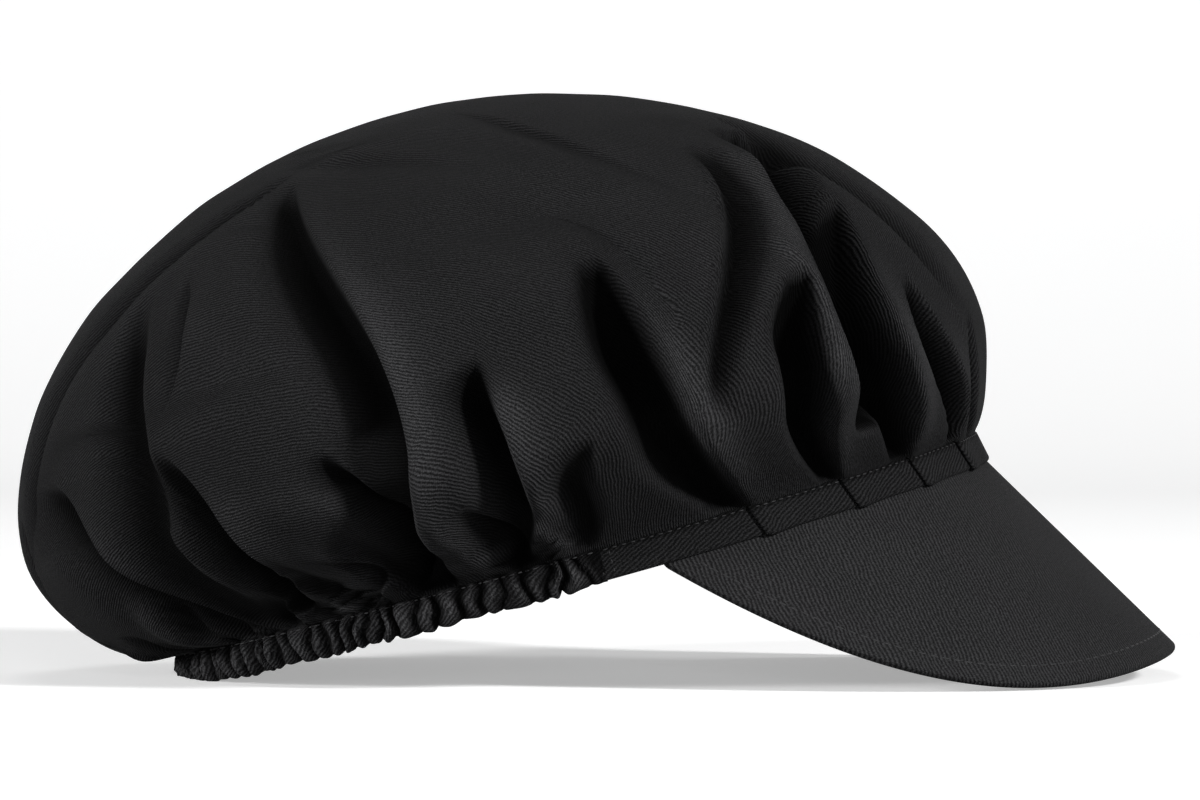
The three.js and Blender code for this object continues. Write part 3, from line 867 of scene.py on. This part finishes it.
def band_section():
    """The strip's section: up the outer face, over the rounded top, down inside and round the foot."""
    top_up = HEM_HIGH - BAND_ROUND
    outer = [SectionPoint(0.0, up) for up in np.linspace(BAND_ROUND, top_up, 9)]
    arc = np.linspace(0, math.pi, 7)[1:-1]
    top = [SectionPoint(BAND_WALL / 2 * (1 - math.cos(a)), top_up + BAND_ROUND * math.sin(a)) for a in arc]
    inner = [SectionPoint(BAND_WALL, up) for up in np.linspace(top_up, BAND_ROUND, 5)]
    foot = [SectionPoint(BAND_WALL / 2 * (1 + math.cos(a)), BAND_ROUND * (1 - math.sin(a))) for a in arc]
    return outer + top + inner + foot


def near_pleat(length):
    """1 at each fold edge, where the strip's face slants, down to 0 a few millimetres away."""
    near = np.zeros_like(length)
    for sign, pleats in PLEAT_SIDES:
        for turn in pleats:
            away = np.abs(length - sign * along_rim(math.radians(turn)))
            near = np.maximum(near, 1 - ease(away / SLANT_REACH - SLANT_FULL))
    return near


def hem_places():
    """Places of the strip's points, the length along it at each step, and painted shade along its top, at the
    seam where the crown meets it.
    """
    left, right = hem_course(1), hem_course(-1)
    course = np.concatenate([right[::-1] * [-1, 1], left[1:]])
    length, out = course[:, :1], course[:, 1:]
    section = band_section()
    depth = np.array([p.depth for p in section])
    up = np.array([p.up for p in section])
    pull = PLEAT_SLANT * (0.5 - up / HEM_HIGH)
    shown = 1 - depth / BAND_WALL
    side = np.where(length < 0, -1.0, 1.0)
    plain = np.maximum.accumulate(length, axis=0)
    spread = lerp(plain, length, shown) - side * near_pleat(length) * pull
    lean = lerp(BAND_FOOT_OUT, -BAND_TOP_IN, up / HEM_HIGH)
    lap_drop = -LAP_DROP * np.clip(out, 0, LAP_DROP_MOST) * (1 - up / HEM_HIGH) * shown
    places = rim_point(turn_at(spread), lean + out * shown - depth, up + lap_drop)
    run = np.cumsum(np.abs(np.diff(length[:, 0], prepend=length[0, 0])))
    # painted shade: the strip is darker along its top
    return places, run, 1 - SEAM_PAINTED_SHADE * ease((up - SEAM_FROM) / SEAM_BLEND) + 0 * length


def strip_map(length, around):
    """Flat places of a swept ring: the length along it, by the length round its section."""
    return stack(length[:, None], around[None, :], 0.0)[..., :2]


band_points, band_length, band_shade = hem_places()
girth = step_lengths(band_points, axis=1, append=band_points[:, :1]).mean(axis=0)
band_flat = strip_map(band_length, running(girth))
band = sweep_ring("hem_front", on_table(band_points), band_flat, band_shade)

# %% [markdown]
# ## The hem on the elastic
# Round the back the same strip is a tube with elastic inside, drawn up into ruches. Its section is a
# tall, soft lozenge. Each ruche swells it, the creases between them cut in to the elastic, and its
# lower edge comes out scalloped. A noise could crumple the tube, but its ruches have to meet the
# gathers of the crown, so both pieces use the same function.

# %% The casing
CASING_WALL = 2.6
CASING_HIGH = 8.4
CASING_MID = 3.8
CASING_IN = 0.9
CASING_RING = 24
CASING_STEPS = 620
CASING_HIDDEN = 0.012
ACROSS_POWER = 0.8
UPWARD_POWER = 0.75
RUCHE_LEAN = rng.uniform(-1.1, 1.1, RUCHES + 1)
RUCHE_WANDER = 0.007
WANDER_WAVE = 40
RUCHE_WALL = 0.16
RUCHE_INSIDE = 0.35
RUCHE_EDGES = 0.35
SCALLOP = 0.55
SCALLOP_TOP = 0.25
EDGE_DROP = 0.25
EDGE_WAVE = 23
FINE_OUT = 0.12
FINE_WAVE = 411
# painted shade in the creases and under the crown, and a painted highlight on the ruches
CREASE_PAINTED_SHADE = 0.1
RUCHE_PAINTED_HIGHLIGHT = 2.5
CREST_FROM = -0.3
CREST_BLEND = 1.3
CREST_POWER = 1.5
UPPER_PAINTED_SHADE = 0.55


def casing_places():
    """Places of the tube's points, and their painted shade: black in the creases, a painted highlight on the
    ruches, and darker towards the top, under the crown.
    """
    turn = np.linspace(ELASTIC_FROM - CASING_HIDDEN, 2 * math.pi - ELASTIC_FROM + CASING_HIDDEN, CASING_STEPS)
    turn = turn[:, None]
    angle = (np.arange(CASING_RING) / CASING_RING * 2 * math.pi)[None, :]
    c, s = np.cos(angle), np.sin(angle)
    across = np.sign(c) * np.abs(c) ** ACROSS_POWER
    upward = np.sign(s) * np.abs(s) ** UPWARD_POWER
    lean = np.interp(turn, ruche_turns, RUCHE_LEAN) / RIM_WIDE
    puff = ruche(turn + lean * upward + RUCHE_WANDER * np.sin(3 * upward + WANDER_WAVE * turn))
    fine = FINE_OUT * np.sin(turn * FINE_WAVE + 3 * upward) * ease(c)
    wall = CASING_WALL / 2 * (1 + RUCHE_WALL * puff)
    swelling = RUCHE_OUT * puff * lerp(RUCHE_INSIDE, 1, ease(c)) * (1 - RUCHE_EDGES * np.abs(upward))
    high = CASING_HIGH / 2 + SCALLOP * puff * np.where(s < 0, 1.0, SCALLOP_TOP)
    up = CASING_MID + upward * high + EDGE_DROP * np.sin(turn * EDGE_WAVE) * (s < 0)
    # painted highlight on the ruches, painted shade in the creases and towards the top
    crest = ease((puff - CREST_FROM) / CREST_BLEND) ** CREST_POWER
    shade = (CREASE_PAINTED_SHADE + RUCHE_PAINTED_HIGHLIGHT * crest) * (1 - UPPER_PAINTED_SHADE * ease(upward))
    return rim_point(turn, -CASING_IN + across * wall + swelling + fine, up), shade


casing_points, casing_shade = casing_places()
casing_around = np.linspace(0, 2 * (CASING_HIGH + CASING_WALL), CASING_RING + 1)
casing_flat = strip_map(running(step_lengths(casing_points[:, 0])), casing_around)
casing = sweep_ring("hem_elastic", on_table(casing_points), casing_flat, casing_shade)

# %% [markdown]
# ## The peak
# The peak is two layers of cloth over a stiff board, sewn in under the hem. A flat board could be bent
# with a modifier, but its root has to follow the rim, so it is laid on the sheet worked out above. Each
# ring runs out along its top, round its edge and back underneath.

# %% The covered board
PEAK_STEPS = 190
PEAK_ROWS = 30
PEAK_EDGE_STEPS = 9
SIDE_POWER = 0.8
ROW_POWER = 0.85
SIDE_GAP = 0.002


def peak_places():
    """Places of the board's points, out along its top, round its edge and back, at turns and runs."""
    share = np.linspace(-1, 1, PEAK_STEPS)[:, None]
    turn = np.sign(share) * np.abs(share) ** SIDE_POWER * (PEAK_TURN - SIDE_GAP)
    reach = peak_reach(turn)
    nose = PEAK_WALL / 2
    rows = [lerp(-PEAK_HIDDEN, reach - nose, row) for row in np.linspace(0, 1, PEAK_ROWS) ** ROW_POWER]
    arc = np.linspace(math.pi / 2, -math.pi / 2, PEAK_EDGE_STEPS)[1:-1]
    edge = [reach - nose + nose * math.cos(a) for a in arc]
    run = np.concatenate(rows + edge + rows[::-1], axis=1)
    out = np.array([nose] * PEAK_ROWS + [nose * math.sin(a) for a in arc] + [-nose] * PEAK_ROWS)
    return peak_point(turn + 0 * run, run, out + 0 * run), turn, run


peak_points, peak_turn, peak_run = peak_places()
PEAK_SPREAD = 0.55 * PEAK_FLARE / RIM_LONG
peak_along = along_rim(peak_turn) * (1 + PEAK_SPREAD * peak_run)
peak_flat = stack(peak_along, peak_run, 0.0)[..., :2]
peak_flat = np.concatenate([peak_flat, peak_flat[:, :1]], axis=1)
peak = sweep_ring("peak_cover", on_table(peak_points), peak_flat)

# %% [markdown]
# ## Stitches
# One stitch is a short, round-ended length of thread that lies on the cloth, and it sinks into a
# needle hole at each end. A bump could hint at a seam, but real thread catches the light. A row of
# stitches is one mesh: one small ball with few faces, stretched and copied, so it costs little.

# %% A row of stitches
STITCH_SHARE = 0.62
STITCH_SUNK = 0.1
STITCH_THICK = 0.42
STITCH_FLAT = 2.4


def one_stitch():
    ball = bmesh.new()
    bmesh.ops.create_uvsphere(ball, u_segments=6, v_segments=6, radius=1.0)
    mesh = bpy.data.meshes.new("one_stitch")
    ball.to_mesh(mesh)
    ball.free()
    return mesh


STITCH = one_stitch()


def sew(name, line, outward, pitch, thick=STITCH_THICK, share=STITCH_SHARE):
    """Stitches along a line of points (mm), each lying flat on the cloth whose way out is given."""
    length = running(step_lengths(line))
    count = int(length[-1] / pitch)
    thread = bmesh.new()
    for i in range(count):
        middle = (i + 0.5) * length[-1] / count
        ends = [middle - share * pitch / 2, middle, middle + share * pitch / 2]
        start, centre, end = (np.array([np.interp(s, length, line[:, k]) for k in range(3)]) for s in ends)
        out = unit(np.array([np.interp(middle, length, outward[:, k]) for k in range(3)]))
        forward = unit(end - start)
        across = unit(np.cross(out, forward))
        turned = np.stack([across, np.cross(forward, across), forward], axis=1)
        size = np.array([thick / 2, thick / STITCH_FLAT, np.linalg.norm(end - start) / 2])
        thread.from_mesh(STITCH)
        thread.verts.ensure_lookup_table()
        new = thread.verts[-len(STITCH.vertices):]
        ball = np.array([vert.co for vert in new])
        for vert, place in zip(new, on_table((ball * size) @ turned.T + centre - out * STITCH_SUNK)):
            vert.co = place
    for face in thread.faces:
        face.smooth = True
    bmesh.ops.recalc_face_normals(thread, faces=thread.faces[:])
    return as_piece(thread, name)


# %% [markdown]
# ## The seams
# One row runs along the top of the hem and one along the casing, where it dips into each crease. Two
# short rows close the hem at each end of the elastic, and one row runs a little inside the peak's edge.

# %% The hem's seam and the elastic's
HEM_PITCH = 2.3
HEM_SEAM_UP = 7.3
HEM_SEAM_ENDS = 1.5
HEM_SEAM_LEAN = 0.5
ELASTIC_PITCH = 2.4
ELASTIC_SEAM_UP = 7.4
ELASTIC_SEAM_OUT = 0.2
ELASTIC_SEAM_DIP = 0.75
ELASTIC_SEAM_LEAN = 0.6
hem_half = along_rim(ELASTIC_FROM) - HEM_SEAM_ENDS
hem_turns = turn_at(np.linspace(-hem_half, hem_half, 900))
hem_line = rim_point(hem_turns, -BAND_TOP_IN * HEM_SEAM_UP / HEM_HIGH + lap_at(hem_turns), HEM_SEAM_UP)
hem_threads = sew("hem_stitches", hem_line, rim_out(hem_turns) + [0, 0, HEM_SEAM_LEAN], HEM_PITCH)

casing_turns = np.linspace(ELASTIC_FROM, 2 * math.pi - ELASTIC_FROM, 1200)
casing_out = ELASTIC_SEAM_OUT + RUCHE_OUT * ELASTIC_SEAM_DIP * ruche(casing_turns)
casing_line = rim_point(casing_turns, casing_out, ELASTIC_SEAM_UP)
casing_outward = rim_out(casing_turns) + [0, 0, ELASTIC_SEAM_LEAN]
casing_threads = sew("elastic_stitches", casing_line, casing_outward, ELASTIC_PITCH)

# %% The rows at the ends of the elastic
JUNCTION_PITCH = 2.0
JUNCTION_BACKS = (0.6, 3.4)
JUNCTION_RISE = (1.0, HEM_HIGH - 0.6)


def junction_line(length_back, side):
    """A short line up the hem, a little before its end, and the way out along it."""
    up = np.linspace(*JUNCTION_RISE, 12)
    turn = side * turn_at(np.full_like(up, along_rim(ELASTIC_FROM) - length_back))
    lean = lerp(BAND_FOOT_OUT, -BAND_TOP_IN, up / HEM_HIGH)
    return rim_point(turn, lean, up), rim_out(turn) + 0 * up[:, None]


junction_threads = []
for side, side_name in ((-1, "right"), (1, "left")):
    for count, back in enumerate(JUNCTION_BACKS, start=1):
        line, outward = junction_line(back, side)
        junction_threads.append(sew(f"junction_stitches_{side_name}_{count}", line, outward, JUNCTION_PITCH))

# %% The peak's seam
PEAK_PITCH = 3.0
PEAK_STITCH_THICK = 0.5
PEAK_STITCH_SHARE = 0.78
SEAM_IN = 6.0
SEAM_START = 1.0


def peak_seam():
    """The line a little inside the peak's edge: the edge moved in square to itself on the flat sheet."""
    turn = np.linspace(-PEAK_TURN, PEAK_TURN, 4000)
    flat = np.stack([along_rim(turn), peak_reach(turn)], axis=1)
    forward = unit(np.gradient(flat, axis=0))
    inner = flat + np.stack([forward[:, 1], -forward[:, 0]], axis=1) * SEAM_IN
    kept = inner[(inner[:, 1] > SEAM_START) & (np.abs(inner[:, 0]) < along_rim(PEAK_TURN))]
    return turn_at(kept[:, 0]), kept[:, 1]


seam_turn, seam_run = peak_seam()
seam_line = peak_point(seam_turn, seam_run, PEAK_WALL / 2 + 0 * seam_run)
seam_out = unit(seam_line - peak_point(seam_turn, seam_run, 0 * seam_run))
seam_threads = sew("peak_stitches", seam_line, seam_out, PEAK_PITCH, PEAK_STITCH_THICK, PEAK_STITCH_SHARE)
threads = [hem_threads, casing_threads, seam_threads, *junction_threads]

# %% [markdown]
# ## Shader maths
# Material sums are long chains of Math nodes. A small class lets them be written as sums instead.

# %% Sums made of nodes
class Socket:
    """One output of a node, or a number, that can be added, multiplied and so on."""

    def __init__(self, tree, link):
        self.tree, self.link = tree, link

    def math(self, operation, *others):
        node = self.tree.nodes.new("ShaderNodeMath")
        node.operation = operation
        for slot, value in zip(node.inputs, (self, *others)):
            if isinstance(value, Socket):
                self.tree.links.new(value.link, slot)
            else:
                slot.default_value = value
        return Socket(self.tree, node.outputs[0])

    def __add__(self, other):
        return self.math("ADD", other)

    __radd__ = __add__

    def __sub__(self, other):
        return self.math("SUBTRACT", other)

    def __rsub__(self, other):
        return (self * -1) + other

    def __mul__(self, other):
        return self.math("MULTIPLY", other)

    __rmul__ = __mul__

    def __truediv__(self, other):
        return self.math("DIVIDE", other)

    def __rtruediv__(self, other):
        return self.math("POWER", -1.0) * other

    def sine(self):
        return self.math("SINE")

    def within(self, low, high):
        """0 at low and below, 1 at high and above."""
        return ((self - low) / (high - low)).math("MINIMUM", 1.0).math("MAXIMUM", 0.0)


class Finish:
    """A material, and one way to add any node to it."""

    def __init__(self, name):
        self.material = bpy.data.materials.new(name)
        self.material.use_nodes = True
        self.tree = self.material.node_tree
        self.tree.nodes.clear()

    def add(self, kind, settings=None, **values):
        """Adds a node: its settings first, then the values or links of its sockets by name."""
        node = self.tree.nodes.new("ShaderNode" + kind)
        for key, value in (settings or {}).items():
            setattr(node, key, value)
        for key, value in values.items():
            slot = node.inputs[key.replace("_", " ")]
            if isinstance(value, Socket):
                self.tree.links.new(value.link, slot)
            else:
                slot.default_value = value
        return node

    def out(self, node, name):
        return Socket(self.tree, node.outputs[name])

    def noise(self, place, scale, detail=2.0):
        node = self.add("TexNoise", Vector=place, Scale=scale, Detail=detail)
        return self.out(node, "Fac")

    def grey(self, dark, light, share):
        """A colour between two, by a share that changes over the surface."""
        mix = self.add("Mix", {"data_type": "RGBA"})
        self.tree.links.new(share.link, mix.inputs[0])
        mix.inputs[6].default_value = (*dark, 1)
        mix.inputs[7].default_value = (*light, 1)
        return Socket(self.tree, mix.outputs[2])

    def scaled(self, color, share):
        """A colour made lighter or darker by a share that changes over the surface."""
        node = self.add("VectorMath", {"operation": "SCALE"})
        self.tree.links.new(color.link, node.inputs[0])
        self.tree.links.new(share.link, node.inputs["Scale"])
        return Socket(self.tree, node.outputs[0])

    def bump(self, height, distance, strength=1.0):
        return self.out(self.add("Bump", Height=height, Distance=distance, Strength=strength), "Normal")

    def surface(self, color, roughness, normal=None, **same):
        """The shader: what changes over the surface, and what is the same all over it."""
        values = {"Base_Color": color, "Roughness": roughness, **same}
        if normal:
            values["Normal"] = normal
        shader = self.add("BsdfPrincipled", **values)
        end = self.add("OutputMaterial")
        self.tree.links.new(shader.outputs[0], end.inputs[0])
        return self.material


# %% [markdown]
# ## Black twill
# Twill is woven in fine diagonal ribs, the wales, here 0.9 mm apart. Each wale is a row of short
# threads, so the rib is broken up along its length. The black is a dark charcoal with painted shade in
# the grooves between the wales, speckled by the yarn, and a faint sheen from the cotton's fuzz. Each
# point's *shade* then adds painted shade down in the folds and a painted highlight on the crests. A
# picture of cloth would blur close up, so the weave is worked out on the flat map.

# %% The twill
WALE_PITCH = 0.9
THREAD_PITCH = 0.55
CLOUD_SCALE = 28.0
DRIFT_SCALE = 90.0
BREAK_SCALE = 900.0
FUZZ_SCALE = 2200.0
WALE_DRIFT = 2.4
WALE_BREAK = 0.5
BUMP_HIGH = 0.00026
BUMP_STRENGTH = 0.9
Weave = namedtuple("Weave", "wale thread broken fuzz")
RELIEF = Weave(0.65, 0.3, 0.6, 0.8)
# painted shade: the colour is darker where the weave's relief is low, between the wales
RELIEF_PAINTED_SHADE = 0.9
TONE_CLOUDS = 0.3
TONE_FUZZ = 1.3
TONE_LESS = 0.06
TONE_SPAN = (0.1, 1.1)
CLOTH_ROUGH = 0.93
WALE_SMOOTHER = 0.1
CLOTH_SHEEN = {
    "Sheen_Weight": 0.004, "Sheen_Roughness": 0.5, "Sheen_Tint": (0.5, 0.5, 0.52, 1),
    "Specular_IOR_Level": 0.045,
}


def twill(name, angle, dark, light):
    """Twill that reads the piece's own flat map. The angle is that of its wales on the map."""
    finish = Finish(name)
    flat = finish.out(finish.add("UVMap", {"uv_map": "cloth"}), "UV")
    parts = finish.add("SeparateXYZ", Vector=flat)
    u = finish.out(parts, "X") / MM
    v = finish.out(parts, "Y") / MM
    drift = finish.noise(flat, DRIFT_SCALE) - 0.5
    broken = finish.noise(flat, BREAK_SCALE) - 0.5
    fuzz = finish.noise(flat, FUZZ_SCALE) - 0.5
    c, s = math.cos(angle), math.sin(angle)
    across = v * c - u * s + drift * WALE_DRIFT + broken * WALE_BREAK
    forward = u * c + v * s
    wale = (across * (2 * math.pi / WALE_PITCH)).sine() * 0.5 + 0.5
    thread = ((forward + across * 0.5) * (2 * math.pi / THREAD_PITCH)).sine() * 0.5 + 0.5
    height = wale * RELIEF.wale + thread * wale * RELIEF.thread + broken * RELIEF.broken + fuzz * RELIEF.fuzz
    cloudy = finish.noise(flat, CLOUD_SCALE, 3.0)
    tone = height * RELIEF_PAINTED_SHADE + cloudy * TONE_CLOUDS + fuzz * TONE_FUZZ - TONE_LESS
    # painted light: the shade attribute brings in the painted shade of folds and creases and the painted
    # highlights
    shade = finish.out(finish.add("Attribute", {"attribute_name": "shade"}), "Fac")
    color = finish.scaled(finish.grey(dark, light, tone.within(*TONE_SPAN)), shade)
    normal = finish.bump(height, BUMP_HIGH, BUMP_STRENGTH)
    return finish.surface(color, CLOTH_ROUGH - wale * WALE_SMOOTHER, normal, **CLOTH_SHEEN)


CLOTH_DARK = (0.004, 0.004, 0.0042)
CLOTH_LIGHT = (0.026, 0.026, 0.027)
# painted light: the peak is the same black twill as the crown, painted paler because it faces the light
PEAK_PAINTED_LIT_DARK = (0.0085, 0.0085, 0.0088)
PEAK_PAINTED_LIT_LIGHT = (0.043, 0.043, 0.0445)
crown_twill = twill("crown_twill", math.radians(-37), CLOTH_DARK, CLOTH_LIGHT)
hem_twill = twill("hem_twill", math.radians(28), CLOTH_DARK, CLOTH_LIGHT)
peak_twill = twill("peak_twill", math.radians(-62), PEAK_PAINTED_LIT_DARK, PEAK_PAINTED_LIT_LIGHT)

# %% Thread
THREAD_DARK = (0.01, 0.01, 0.0104)
THREAD_LIGHT = (0.042, 0.042, 0.0435)
TWIST_SCALE = 3000.0


def thread_finish():
    finish = Finish("black_thread")
    place = finish.out(finish.add("TexCoord"), "Object")
    twist = finish.noise(place, TWIST_SCALE, 1.0)
    color = finish.grey(THREAD_DARK, THREAD_LIGHT, twist)
    return finish.surface(color, 0.6 - twist * 0.1, finish.bump(twist, 0.0001), Specular_IOR_Level=0.15)


black_thread = thread_finish()
finishes = [(crown, crown_twill), (band, hem_twill), (casing, hem_twill), (peak, peak_twill)]
for piece, finish in finishes + [(row, black_thread) for row in threads]:
    piece.data.materials.append(finish)

# %% [markdown]
# ## The cloth's thickness
# Twill is thin, under a millimetre, and the crown so far has no thickness at all. A second layer could
# be built by hand, but a Solidify modifier does it, inwards, so that the outer face stays.

# %% Thickness
CLOTH_WALL = 0.7
wall = crown.modifiers.new("thickness", "SOLIDIFY")
wall.thickness = CLOTH_WALL * MM
wall.offset = -1.0

# %% [markdown]
# ## What each piece stands for
# The frame holds plain solids for the same pieces. Each of these pieces stands for one of them, and
# the crown is a sheet of cloth.

# %% Riding on the root
for piece in (crown, band, casing, peak, *threads):
    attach(piece, "root")
    "peak_cloth" if piece in (peak, seam_threads) else "cap_cloth"
for piece, node in ((crown, "crown"), (band, "front_band"), (casing, "back_casing"), (peak, "peak")):
    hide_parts(node)

# %% [markdown]
# ## The studio
# A pale floor that curves up into a backdrop, which can't be seen from behind, a large soft light on
# each side, and two weaker ones that lift the front and draw the outline of the top.

# %% Floor and backdrop
FLOOR_NEAR = -3.0
FLOOR_WIDE = 8.0
WALL_AT = 2.4
WALL_HIGH = 3.0
WALL_BEND = 1.2
PAPER_DARK = (0.86, 0.86, 0.86)
PAPER_LIGHT = (0.9, 0.9, 0.9)
PAPER_GLOW = 0.38


def pale_floor():
    sweep = bmesh.new()
    corners = ((0, FLOOR_NEAR, 0), (0, WALL_AT, 0), (0, WALL_AT, WALL_HIGH))
    near, corner, top = (sweep.verts.new(place) for place in corners)
    for ends in ((near, corner), (corner, top)):
        sweep.edges.new(ends)
    bmesh.ops.bevel(
        sweep, geom=[corner], offset=WALL_BEND, segments=24, profile=0.5, affect="VERTICES", material=-1,
    )
    wide = bmesh.ops.extrude_edge_only(sweep, edges=sweep.edges[:])
    across = [part for part in wide["geom"] if isinstance(part, bmesh.types.BMVert)]
    bmesh.ops.translate(sweep, verts=across, vec=(FLOOR_WIDE, 0, 0))
    bmesh.ops.translate(sweep, verts=sweep.verts[:], vec=(-FLOOR_WIDE / 2, 0, 0))
    bmesh.ops.recalc_face_normals(sweep, faces=sweep.faces[:])
    sweep.normal_update()
    if sum(face.normal.z for face in sweep.faces) < 0:
        bmesh.ops.reverse_faces(sweep, faces=sweep.faces[:])
    for face in sweep.faces:
        face.smooth = True
    return as_piece(sweep, "studio_floor")


floor = pale_floor()
paper = Finish("pale_paper")
paper_place = paper.out(paper.add("TexCoord"), "Object")
paper_tone = paper.grey(PAPER_DARK, PAPER_LIGHT, paper.noise(paper_place, 3.0))
from_behind = paper.out(paper.add("NewGeometry"), "Backfacing")
floor.data.materials.append(paper.surface(
    paper_tone, 0.9, Alpha=1 - from_behind, Emission_Color=(1, 1, 1, 1), Emission_Strength=PAPER_GLOW,
))
floor.visible_diffuse = False

# %% Lights
Light = namedtuple("Light", "name place size watts")
LIGHTS = [
    Light("key", (2.0, -1.6, 1.35), 0.45, 86),
    Light("left", (-2.3, -1.2, 0.75), 0.6, 66),
    Light("front", (0.1, -2.4, 0.45), 0.6, 13),
    Light("top", (-0.2, 0.9, 2.0), 0.8, 7),
]
LIGHTS_AIM = Vector((0, 0, 0.06))
for light in LIGHTS:
    lamp = bpy.data.lights.new(light.name, "AREA")
    lamp.shape = "DISK"
    lamp.size = light.size
    lamp.energy = light.watts
    holder = bpy.data.objects.new(light.name, lamp)
    holder.location = light.place
    holder.rotation_euler = (LIGHTS_AIM - Vector(light.place)).to_track_quat("-Z", "Y").to_euler()
    bpy.context.scene.collection.objects.link(holder)

# %% The pale room
ROOM_COLOR = (0.93, 0.95, 1.0, 1)
ROOM_LIGHT = 0.05
world = bpy.data.worlds.new("pale_room")
world.use_nodes = True
background = world.node_tree.nodes["Background"]
background.inputs[0].default_value = ROOM_COLOR
background.inputs[1].default_value = ROOM_LIGHT
bpy.context.scene.world = world
bpy.context.scene.view_settings.view_transform = "Standard"

# %% [markdown]
# ## The camera
# The photograph was taken almost level with the cap, from its right side and from some way off.

# %% Camera
CAMERA_AWAY = 2.4
CAMERA_RISE = math.radians(1.6)
VIEW_WIDE = 0.297
SENSOR = 36.0
aim = Vector((0.0005, 0, 0.068))
camera = bpy.data.objects.new("camera", bpy.data.cameras.new("camera"))
camera.data.sensor_width = SENSOR
camera.data.lens = SENSOR * CAMERA_AWAY / VIEW_WIDE
camera.location = aim + Vector((0, -math.cos(CAMERA_RISE), math.sin(CAMERA_RISE))) * CAMERA_AWAY
camera.rotation_euler = (aim - camera.location).to_track_quat("-Z", "Y").to_euler()
camera.data.clip_end = 20
bpy.context.scene.collection.objects.link(camera)
bpy.context.scene.camera = camera
